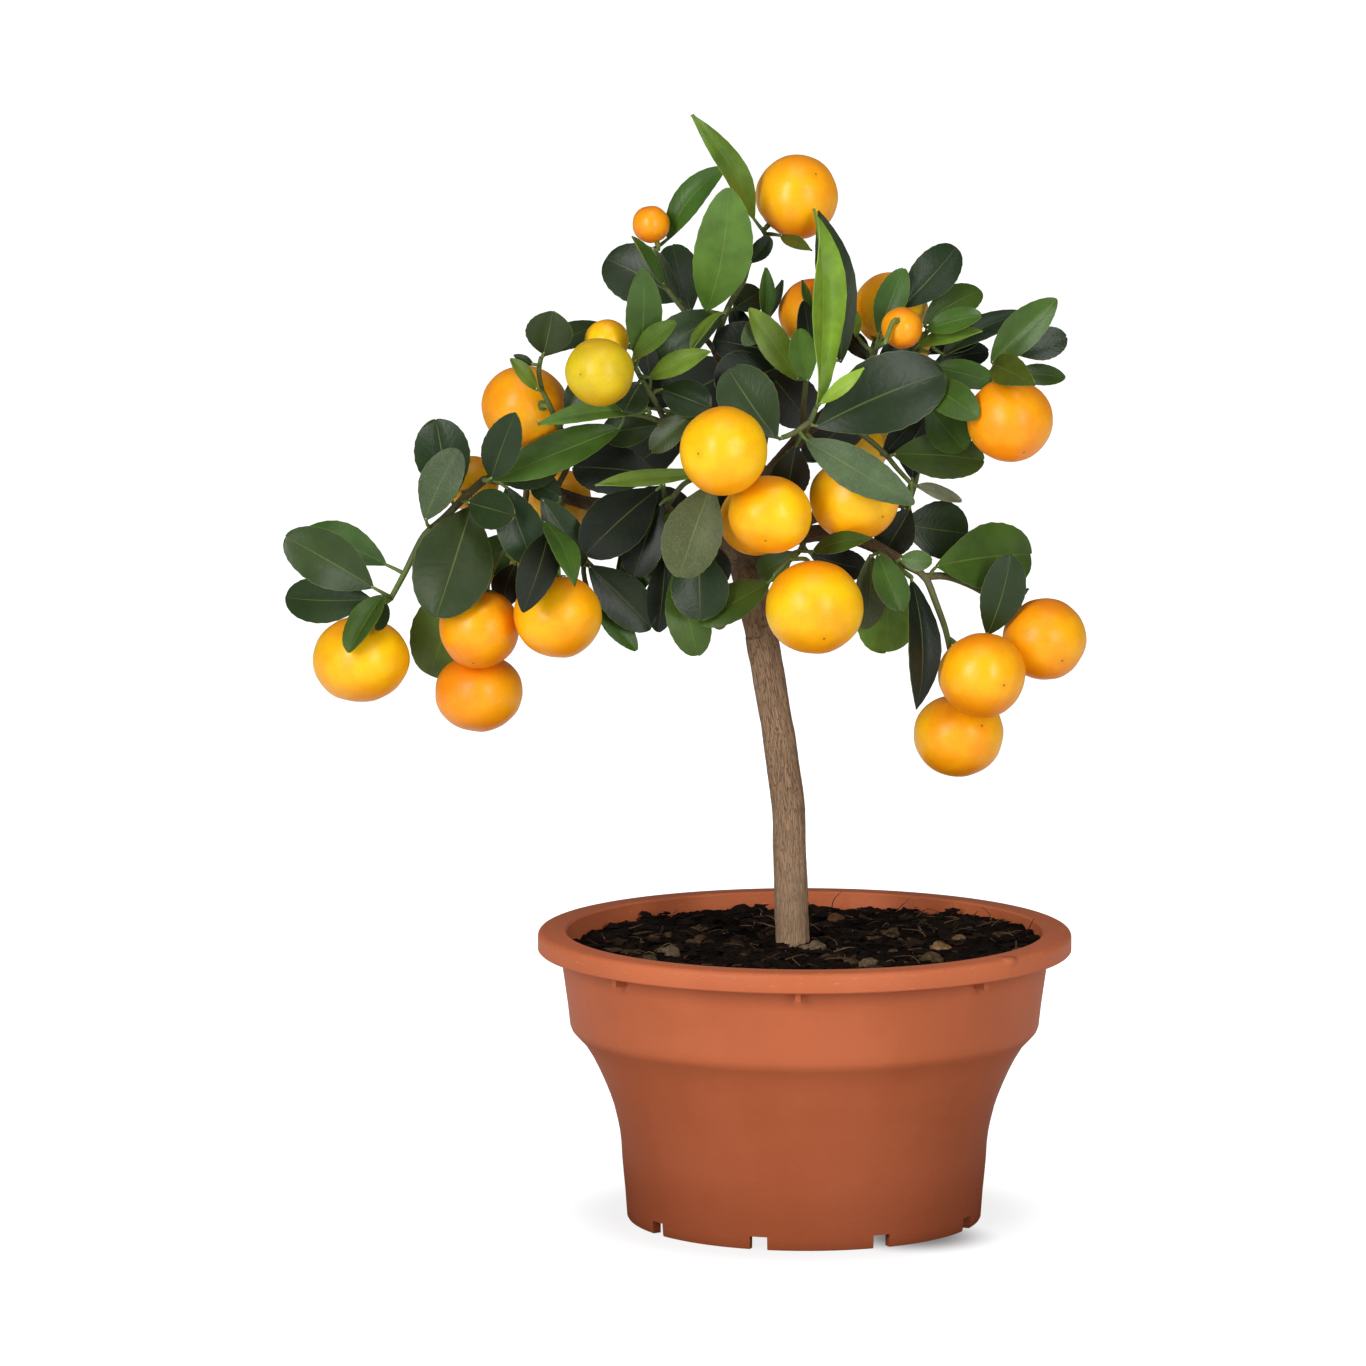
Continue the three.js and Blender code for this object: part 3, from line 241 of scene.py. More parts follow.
def spun(profile, steps):
    """A profile of radius and height, from axis to axis, spun about Z into a closed shell."""
    bm = bmesh.new()
    dots = [bm.verts.new((r, 0, z)) for r, z in profile]
    edges = [bm.edges.new(pair) for pair in zip(dots, dots[1:])]
    bmesh.ops.spin(bm, geom=dots + edges, axis=(0, 0, 1), cent=(0, 0, 0), angle=2 * math.pi,
                   steps=steps, use_merge=True)
    bmesh.ops.remove_doubles(bm, verts=bm.verts[:], dist=0.001)
    bmesh.ops.recalc_face_normals(bm, faces=bm.faces[:])
    return bm


def applied(body, *tools):
    """The drawing that an object's modifiers give. The object and its tools go."""
    made = bmesh.new()
    bpy.context.view_layer.update()
    made.from_object(body, bpy.context.evaluated_depsgraph_get())
    for item in (body, *tools):
        bpy.data.meshes.remove(item.data)
    return made


def carve(bm, cutters, operation):
    """The drawing joined with, or cut by, boxes given as matrices of a unit cube."""
    body = object_of(bm, "body")
    tool_bm = bmesh.new()
    for cutter in cutters:
        bmesh.ops.create_cube(tool_bm, size=1, matrix=cutter)
    cut = body.modifiers.new("carve", "BOOLEAN")
    cut.operation = operation
    cut.solver = "EXACT"
    cut.object = object_of(tool_bm, "tool")
    return applied(body, cut.object)


def radial_box(angle, near, far, width, low, high):
    """A unit cube's matrix for a box that reaches outwards from the axis."""
    turn = Matrix.Rotation(math.radians(angle) - math.pi / 2, 4, "Z")
    centre = Matrix.Translation(((near + far) / 2, 0, (low + high) / 2))
    return turn @ centre @ Matrix.Diagonal((far - near, width, high - low, 1))


rim_corner = [
    [RIM_RADIUS - RIM_ROUND * (1 - math.cos(turn)), RIM_TOP - RIM_ROUND * (1 - math.sin(turn))]
    for turn in np.linspace(0, math.pi / 2, ROUND_POINTS)]
neck = POT_OUTSIDE[-1]
pot_inside = [[r - WALL, max(z, FLOOR)] for r, z in POT_OUTSIDE[2:-1]]
skirt_inside = RIM_RADIUS - WALL
throat = neck[0] - WALL
pot_profile = [
    [0, FOOT_RISE], [FOOT_RING - EDGE, FOOT_RISE], [FOOT_RING, FOOT_RISE - EDGE], [FOOT_RING, 0],
    *POT_OUTSIDE, [skirt_inside, neck[1]], [skirt_inside, SKIRT_BOTTOM + EDGE],
    [skirt_inside + EDGE, SKIRT_BOTTOM], [RIM_RADIUS - EDGE, SKIRT_BOTTOM],
    [RIM_RADIUS, SKIRT_BOTTOM + EDGE], *rim_corner, [throat + LIP_EDGE, RIM_TOP],
    [throat, RIM_TOP - LIP_EDGE], *pot_inside[::-1], [0, FLOOR]]
pot_bm = spun(pot_profile, POT_STEPS)
gussets = [  # far end, thickness, bottom and top
    (RIM_RADIUS - WALL / 2, RIB_THICK - RIB_DRAFT, SKIRT_BOTTOM + RIB_SETBACK, neck[1] + RIB_BITE),
    (RIB_TOOTH, RIB_THICK, SKIRT_BOTTOM - RIB_DROP, neck[1] - RIB_BITE)]
for far, thick, low, high in gussets:
    pot_bm = carve(pot_bm, [radial_box(RIB_TURN + i * 360 / RIBS, RIB_FOOT, far, thick, low, high)
                            for i in range(RIBS)], "UNION")
notch = (*NOTCH_REACH, NOTCH_WIDTH, -1, NOTCH_HEIGHT)
pot_bm = carve(pot_bm, [radial_box(NOTCH_TURN + i * 360 / NOTCHES, *notch) for i in range(NOTCHES)],
               "DIFFERENCE")

plastic, tree, shader = new_material("terracotta plastic", 0.46, 0.12)
place = place_of(tree)
mottle = speckle(tree, place, 18, 5, 0.6)
scuffs = speckle(tree, place_of(tree, (1, 1, 6)), 260, 3, 0.7)
body_colour = mix(tree, spread(tree, mottle, 0.35, 0.65), srgb(180, 95, 59), srgb(188, 101, 65))
height_of = add(tree, "SeparateXYZ", whereabouts(tree)).outputs["Z"]
# Painted shade: the wall is painted darker towards the foot, below the crease, where it faces down.
painted_low_shade = mix(tree, spread(tree, height_of, 0.085, 0.0, 0, 0.5), body_colour, srgb(142, 68, 41))
rim_share = spread(tree, height_of, 0.114, 0.122)
scratched = times(tree, spread(tree, scuffs, 0.6, 0.72), spread(tree, rim_share, 0, 1, 0.12, 0.5))
# Painted light: the rim is painted a lighter orange where it catches the light. The scratches mixed in
# next are real wear.
painted_rim_light_and_scuffs = mix(tree, times(tree, rim_share, 0.2), painted_low_shade, srgb(212, 124, 82))
painted_rim_light_and_scuffs = mix(tree, scratched, painted_rim_light_and_scuffs, srgb(222, 142, 102))
plug(tree, shader.inputs["Roughness"], spread(tree, mottle, 0.3, 0.7, 0.4, 0.54))
flow = add(tree, "TexNoise", Vector=place_of(tree, (0.2, 0.2, 3)), Scale=90, Detail=2)
skin = speckle(tree, place, 1500, 2)
off = distance(tree, whereabouts(tree), Vector(BLISTER) * MM)
blister = spread(tree, off, *[size * MM for size in BLISTER_SIZE])
relief = bump(tree, flow, 0.1, 0.0005, bump(tree, blister, 1.0, 0.0012))
dress(tree, shader, painted_rim_light_and_scuffs, bump(tree, skin, 0.12, 0.0002, relief))
piece_of(pot_bm, "pot_shell", plastic, "pot", "pot", sharp=40)

# ---------------------------------------------------------------- soil
# Peat and bark compost, filled to a few millimetres under the rim and heaped at the back right.
# Its surface is crumbs of all sizes, with stones and bark chips pressed in around the trunk.
SOIL_LEVEL = 118.0
SOIL_RELIEF = 1.1
SWELLS = [[62, 25, 4.5, 30], [-85, 0, -3, 28]]  # x, y, rise, spread
SOIL_GRAIN = 150  # cells across the surface
SOIL_GAP = 0.4  # between the soil and the wall
SOIL_LIFT = 0.3  # of the soil over the floor and the wall's bends
LUMP_RISE = 0.9
PIT_DEPTH = 0.5
STONES = [  # x, y, radius, height over the soil, colour
    [-19, -84, 7.5, 2.4, (66, 58, 46)], [-8, -91, 5, 1.6, (60, 50, 40)],
    [29, -70, 4.5, 2, (62, 50, 40)], [41, -82, 6.5, 3, (78, 62, 48)],
    [54, -42, 5, 3, (92, 74, 50)], [80, -46, 4, 2, (70, 52, 40)],
    [92, -32, 4, 2.4, (96, 72, 52)], [70, -66, 3.6, 2, (84, 66, 50)], [62, -58, 3, 2.4, (76, 46, 32)],
    [-52, -72, 4, 1.8, (96, 80, 64)], [-70, -45, 4.5, 2, (88, 74, 58)],
    [-84, -20, 3.5, 1.6, (104, 92, 76)], [8, -78, 3.5, 1.8, (76, 66, 54)],
    [-36, -88, 3.5, 1.6, (100, 88, 70)]]
PEBBLES = [  # loose ones that lie on the compost: x, y, radius, height, colour
    (4, -11, 5.6, 4, (118, 100, 78)), (-58, -22, 5.2, 3.6, (104, 88, 68)),
    (27, -58, 4, 2.4, (110, 92, 70)), (58, -14, 5, 3.4, (148, 116, 80)),
    (66, -4, 3.2, 2.6, (128, 98, 70)), (-66, -34, 3.6, 2.4, (84, 70, 54)),
    (14, 60, 3.6, 3, (96, 66, 44))]
STONE_BREADTH = 0.85
STONE_SEAT = 0.2  # height of a stone's middle, as a share of its rise
PEBBLE_SEAT = 0.6
CRUMBS = 1100
CRUMB_SIZES = [0.7, 0.9, 1.2, 1.7, 2.5, 3.4]
CRUMB_MARGIN = 3  # left free along the wall
FINE_CRUMB = 1.5  # smaller ones need fewer faces
FIBRES = 150
FIBRE_MARGIN = 9
FIBRE_LENGTH = (4, 13)
FIBRE_BOW = 0.12
FIBRE_COLOUR = (138, 104, 74)
STRAW_RADII = [0.26, 0.22, 0.1]
SPRIGS = [  # straws that stand up at the wall: foot x, y, then lean and length
    (6, 96, (-5, 2, 7), 9), (12, 95, (4, 0, 8), 10), (40, 88, (6, 0, 6), 9), (82, 46, (-5, 0, 9), 10),
    (96, 20, (3, 0, 6), 8), (-60, 74, (4, 0, 5), 7)]
SOIL_SEED = 12


def soil_height(x, y):
    swell = sum(rise * math.exp(-((x - sx) ** 2 + (y - sy) ** 2) / (2 * spread_out ** 2))
                for sx, sy, rise, spread_out in SWELLS)
    crumbs = math.sin(x * 0.21 + 1.3) * math.cos(y * 0.19) + 0.6 * math.sin(x * 0.43 - y * 0.37)
    return SOIL_LEVEL + swell + SOIL_RELIEF * crumbs


def soil_surface(x, y):
    """The soil's height with its crumbs."""
    lumps = noise.fractal(Vector((x, y, 0)) * 0.16, 0.7, 2.1, 4)
    pits = noise.cell(Vector((x, y, 7)) * 0.35)
    return soil_height(x, y) + LUMP_RISE * lumps + PIT_DEPTH * pits


def smooth_path(points, radii, step):
    """A soft curve through the points, with a radius at each of its own points."""
    ends = [points[0] * 2 - points[1], *points, points[-1] * 2 - points[-2]]
    path, sizes = [points[0].copy()], [radii[0]]
    for i in range(len(points) - 1):
        a, b, c, d = ends[i:i + 4]
        count = max(1, round((c - b).length / step))
        for k in range(1, count + 1):
            t = k / count
            path.append(0.5 * (2 * b + (c - a) * t + (2 * a - 5 * b + 4 * c - d) * t ** 2
                               + (3 * b - a - 3 * c + d) * t ** 3))
            sizes.append(radii[i] + (radii[i + 1] - radii[i]) * t)
    return path, sizes


def add_tube(bm, path, sizes, sides):
    """Sweeps a ring along a path, and closes both ends with a point. Gives the new vertices."""
    made = []
    across = Vector((0, 1, 0))
    ring = bmesh.ops.create_circle(bm, segments=sides, radius=1)["verts"]
    shape = [vert.co.copy() for vert in ring]
    edges = list({edge for vert in ring for edge in vert.link_edges})
    foot_edges = edges
    for i, (point, size) in enumerate(zip(path, sizes)):
        ahead = (path[min(i + 1, len(path) - 1)] - path[max(i - 1, 0)]).normalized()
        across = (across - ahead * across.dot(ahead)).normalized()
        if i:
            grown = bmesh.ops.extrude_edge_only(bm, edges=edges)["geom"]
            ring = [item for item in grown if isinstance(item, bmesh.types.BMVert)]
            edges = [item for item in grown if isinstance(item, bmesh.types.BMEdge)
                     and all(vert in ring for vert in item.verts)]
        other = ahead.cross(across)
        for vert, place in zip(ring, shape):
            vert.co = point + (across * place.x + other * place.y) * size
        made += ring
    ends = ((foot_edges, *path[:2], sizes[0]), (edges, *path[:-3:-1], sizes[-1]))
    for loop, end, inner, size in ends:
        cap = bmesh.ops.extrude_edge_only(bm, edges=loop)["geom"]
        tip = [item for item in cap if isinstance(item, bmesh.types.BMVert)]
        bmesh.ops.pointmerge(bm, verts=tip, merge_co=end + (end - inner).normalized() * size * 0.5)
    return made


def taper(count, foot, end):
    return [foot + (end - foot) * i / (count - 1) for i in range(count)]


soil_edge = pot_inside[-1][0] - SOIL_GAP
soil_bm = bmesh.new()
bmesh.ops.create_grid(soil_bm, x_segments=SOIL_GRAIN, y_segments=SOIL_GRAIN, size=1)
for vert in soil_bm.verts:
    x, y = vert.co.xy
    reach = soil_edge * max(abs(x), abs(y)) / (math.hypot(x, y) or 1)
    x, y = x * reach, y * reach
    vert.co = (x, y, soil_surface(x, y))
rim_edges = [edge for edge in soil_bm.edges if edge.is_boundary]
for r, z in reversed(pot_inside):
    skirt = bmesh.ops.extrude_edge_only(soil_bm, edges=rim_edges)["geom"]
    rim_edges = [item for item in skirt if isinstance(item, bmesh.types.BMEdge) and item.is_boundary]
    for vert in {v for edge in rim_edges for v in edge.verts}:
        scale = (r - SOIL_GAP) / math.hypot(*vert.co.xy)
        vert.co = (vert.co.x * scale, vert.co.y * scale, min(z + SOIL_LIFT, vert.co.z - 0.5))
bmesh.ops.holes_fill(soil_bm, edges=rim_edges)
bmesh.ops.recalc_face_normals(soil_bm, faces=soil_bm.faces[:])

compost, tree, shader = new_material("compost", 0.95, 0.05)
place = place_of(tree)
patches = speckle(tree, place, 60, 6, 0.7)
fibres = speckle(tree, place, 420, 5, 0.7)
earth = mix(tree, spread(tree, patches, 0.35, 0.7), srgb(13, 9, 7), srgb(34, 25, 19))
earth = mix(tree, spread(tree, fibres, 0.58, 0.8, 0, 0.6), earth, srgb(84, 64, 48))
dress(tree, shader, earth, bump(tree, fibres, 0.9, 0.0012))
piece_of(soil_bm, "compost", compost, "soil", "soil", sharp=35)

# Crumbs, chips and stones: small lumps of bark and grit, and the pebbles that show on the surface.
# Pale fibres lie between them, and a few stand up at the wall.
rng = random.Random(SOIL_SEED)
grit_bm = bmesh.new()
tint = grit_bm.verts.layers.float_color.new("tint")


def add_lump(x, y, z, size, colour, detail, rough):
    """A rough lump of grit with its three half sizes. A round one is turned at random."""
    turn = Quaternion([rng.gauss(0, 1) for _ in range(4)]).normalized()
    shift = Vector([rng.random() for _ in range(3)]) * 50
    shade = srgb(*colour)
    for vert in bmesh.ops.create_icosphere(grit_bm, subdivisions=detail, radius=1)["verts"]:
        swollen = vert.co * (1 + rough * noise.noise(vert.co * 1.4 + shift))
        flat = Vector([a * b for a, b in zip(swollen, size)])
        if size[0] == size[2]:
            flat = turn @ flat
        vert.co = Vector((x, y, z)) + flat
        vert[tint] = shade


for x, y, radius, rise, colour in STONES:
    size = (radius, radius * STONE_BREADTH, rise)
    add_lump(x, y, soil_height(x, y) + rise * STONE_SEAT, size, colour, 3, 0.35)
for x, y, radius, rise, colour in PEBBLES:
    size = (radius, radius * STONE_BREADTH, rise)
    add_lump(x, y, soil_surface(x, y) + PEBBLE_SEAT, size, colour, 3, 0.45)
BARKS = [
    (18, 13, 10), (14, 10, 8), (28, 19, 13), (12, 9, 7), (22, 15, 11), (48, 33, 22), (16, 12, 9),
    (78, 60, 43)]
for _ in range(CRUMBS):
    turn = rng.uniform(0, 2 * math.pi)
    far = (soil_edge - CRUMB_MARGIN) * math.sqrt(rng.random())
    x, y = far * math.cos(turn), far * math.sin(turn)
    size = rng.choice(CRUMB_SIZES)
    chip = (size, size * rng.uniform(0.35, 0.8), size * rng.uniform(0.2, 0.55))
    colour = rng.choice(BARKS)
    add_lump(x, y, soil_surface(x, y) + size * 0.25, chip, colour, 1 if size < FINE_CRUMB else 2, 1.5)

straw_bm = bmesh.new()
straw_tint = straw_bm.verts.layers.float_color.new("tint")
straws = []
for _ in range(FIBRES):
    turn, far = rng.uniform(0, 2 * math.pi), (soil_edge - FIBRE_MARGIN) * math.sqrt(rng.random())
    way, length = rng.uniform(0, 2 * math.pi), rng.uniform(*FIBRE_LENGTH)
    foot = Vector((far * math.cos(turn), far * math.sin(turn), 0))
    foot.z = soil_surface(*foot.xy) + 0.4
    straws.append((foot, Vector((math.cos(way), math.sin(way), rng.uniform(-0.1, 0.3))), length))
for x, y, lean, length in SPRIGS:
    straws.append((Vector((x, y, soil_surface(x, y) - 1)), Vector(lean).normalized(), length))
for foot, way, length in straws:
    bow = Vector((rng.gauss(0, 1), rng.gauss(0, 1), abs(rng.gauss(0, 1)))) * length * FIBRE_BOW
    points = [foot, foot + way * length * 0.5 + bow, foot + way * length]
    light = rng.uniform(0.4, 1.0)
    shade = srgb(*[c * light for c in FIBRE_COLOUR])
    for vert in add_tube(straw_bm, *smooth_path(points, STRAW_RADII, 2.0), 4):
        vert[straw_tint] = shade

grit, tree, shader = new_material("bark chips and grit", 0.9, 0.1)
place = place_of(tree)
grain = speckle(tree, place, 500, 5, 0.7)
dark_share = spread(tree, grain, 0.3, 0.75, 0.0, 0.7)
grit_colour = mix(tree, dark_share, attribute(tree, "tint", "Color"), srgb(22, 16, 12))
dress(tree, shader, grit_colour, bump(tree, grain, 0.6, 0.0006))
piece_of(grit_bm, "grit", grit, "soil", sharp=35)
bmesh.ops.recalc_face_normals(straw_bm, faces=straw_bm.faces[:])
piece_of(straw_bm, "straws", grit, "soil", sharp=35)

# ---------------------------------------------------------------- trunk
# The bare trunk stands in the compost and leans left. Its limbs spread from the top of it, and
# all of it is one grown piece under grey-brown bark with fine cracks along the wood.
# A limb is its radius at foot and end, and its points [x, z, y] of the drawing plane and depth.
TRUNK = [
  [7.3, 7.0, [[-5, 91, 0], [-5.2, 122, 0], [-6.3, 155, 0], [-7.4, 181, 0], [-11, 207.5, 0],
    [-15.4, 233.5, 0], [-19, 255, 0]]],
  [7.0, 7.4, [[-19, 255, 0], [-22.8, 272, 0], [-25.8, 285, 0], [-27, 298, 2]]],
  [4.6, 1.8, [[-26, 284, 0], [-45, 299, 5], [-62, 303, 6], [-80, 308, 6], [-95, 310, 5], [-112, 316, 3],
    [-126, 319, 0], [-137, 320, -4]]],
  [5.6, 1.5, [[-27, 293, 2], [-27, 318, 0], [-26, 342, -4], [-32, 362, -7], [-39.5, 376, -10]]],
  [3.6, 1.6, [[-27, 304, 1], [-17, 320, -14], [-6, 334, -36], [-0.5, 340.5, -49]]],
  [4.6, 1.8, [[-24, 287, -1], [-7, 295, -12], [12, 297, -20], [28, 292, -28], [42, 284.5, -32],
    [49, 280.6, -33]]],
  [3.8, 1.6, [[-26, 308, 1], [-8, 331, -5], [8, 348, -8], [26, 361, -10], [43, 372.5, -12]]],
  [2.2, 1.5, [[33, 365.5, -11], [52, 361, -12], [66, 361, -16], [75, 363, -19]]],
  [3.0, 1.5, [[-27, 312, 1], [-43, 330, -12], [-60, 344.5, -25]]],
  [4.2, 1.6, [[-27, 294, 3], [-24, 315, 27], [-19, 335, 48], [-14, 352, 64]]],
  [3.4, 1.5, [[-31, 292, 4], [-55, 305, 26], [-82, 306, 44], [-100, 304, 56]]],
  [3.4, 1.5, [[-22, 292, 4], [4, 304, 26], [28, 310, 44], [44, 309, 54]]]]
LIMB_STEP = 4.0
LIMB_SIDES = 20
BARK_GRAIN = 0.7  # cell of the mesh that joins the limbs
RIDGE_RISE = 0.22
SWELL_RISE = 0.5
KNOTS = [  # x, z on the drawing plane, depth, radius, rise
    [2.5, 190, -7, 3.2, 1.5], [-13.5, 231, -6, 3.0, 1.2], [-2.5, 177, -7, 2.2, 0.9],
    [7.5, 181, -2, 4.0, 1.2], [-9.5, 213, -7, 2.4, 0.8], [-6, 140, -7, 3, 0.7], [2, 156, -6, 3.5, 0.7]]


def drawn(path):
    return [sight(x, z, y) for x, z, y in path]


limb_paths = [drawn(path) for _, _, path in TRUNK]
trunk_bm = bmesh.new()
limb_lines = []
for (foot, end, _), points in zip(TRUNK, limb_paths):
    path, sizes = smooth_path(points, taper(len(points), foot, end), LIMB_STEP)
    add_tube(trunk_bm, path, sizes, LIMB_SIDES)
    limb_lines.append(np.array(path))
bmesh.ops.recalc_face_normals(trunk_bm, faces=trunk_bm.faces[:])


def remeshed(bm, cell, softening):
    """The drawing's shells joined into one skin of even cells, then softened."""
    body = object_of(bm, "body")
    skin_of = body.modifiers.new("skin", "REMESH")
    skin_of.mode = "VOXEL"
    skin_of.voxel_size = cell
    joined = applied(body)
    for _ in range(softening):
        bmesh.ops.smooth_vert(joined, verts=joined.verts[:], factor=0.5,
                              use_axis_x=True, use_axis_y=True, use_axis_z=True)
    return joined


trunk_bm = remeshed(trunk_bm, BARK_GRAIN, 2)
trunk_bm.normal_update()
# Every point keeps its place around and along its own limb, so that the bark follows the wood.
wood_layer = trunk_bm.verts.layers.float_vector.new("wood")
line_points = np.concatenate(limb_lines)
line_ways = np.concatenate([np.gradient(line, axis=0) for line in limb_lines])
line_ways /= np.linalg.norm(line_ways, axis=1)[:, None]
line_runs = np.concatenate(
    [np.cumsum(np.linalg.norm(np.gradient(line, axis=0), axis=1)) for line in limb_lines])
knots = [(sight(x, z, y), radius, rise) for x, z, y, radius, rise in KNOTS]
for vert in trunk_bm.verts:
    away = np.array(vert.co) - line_points
    near = int(np.argmin(np.einsum("ij,ij->i", away, away)))
    along = float(away[near] @ line_ways[near])
    out = Vector(away[near] - along * line_ways[near])
    run = float(line_runs[near]) + along
    vert[wood_layer] = (out.x, out.y + out.z, run)
    ridge = noise.fractal(Vector((out.x * 0.6, (out.y + out.z) * 0.6, run * 0.07)), 0.6, 2.0, 3)
    swell = noise.noise(Vector((out.x * 0.12, out.y * 0.12, run * 0.05)))
    rise = RIDGE_RISE * ridge + SWELL_RISE * swell
    for centre, radius, height in knots:
        rise += height * math.exp(-((vert.co - centre).length / radius) ** 2)
    vert.co = vert.co + vert.normal * rise

bark, tree, shader = new_material("bark", 0.85, 0.3)
wood_place = attribute(tree, "wood")
strand_place, crack_place, blotch_place = [
    add(tree, "Mapping", Vector=wood_place, Scale=(across, across, along))
    for across, along in ((2.4, 0.17), (2.0, 0.13), (0.12, 0.04))]
strands = speckle(tree, strand_place, 1.0, 6, 0.7)
cracks = add(tree, "TexVoronoi", Vector=crack_place, Scale=1.0, feature="DISTANCE_TO_EDGE")
blotches = speckle(tree, blotch_place, 1.0, 4)
bark_colour = mix(tree, spread(tree, strands, 0.3, 0.7), srgb(116, 90, 68), srgb(178, 144, 112))
bark_colour = mix(tree, spread(tree, blotches, 0.45, 0.7, 0, 0.4), bark_colour, srgb(176, 146, 116))
crack_share = spread(tree, cracks, 0.09, 0.0, 0.0, 0.75)
bark_colour = mix(tree, crack_share, bark_colour, srgb(62, 48, 36))
height_of = add(tree, "SeparateXYZ", whereabouts(tree)).outputs["Z"]
bark_colour = mix(tree, spread(tree, height_of, 0.262, 0.3, 0.0, 0.8), bark_colour, srgb(72, 62, 42))
bark_colour = mix(tree, spread(tree, height_of, 0.2, 0.13, 0.0, 0.35), bark_colour, srgb(206, 170, 136))
bark_height = less(tree, strands, times(tree, crack_share, 0.8))
dress(tree, shader, bark_colour, bump(tree, bark_height, 0.8, 0.0008))
piece_of(trunk_bm, "trunk_and_limbs", bark, "bark", "trunk", sharp=80)

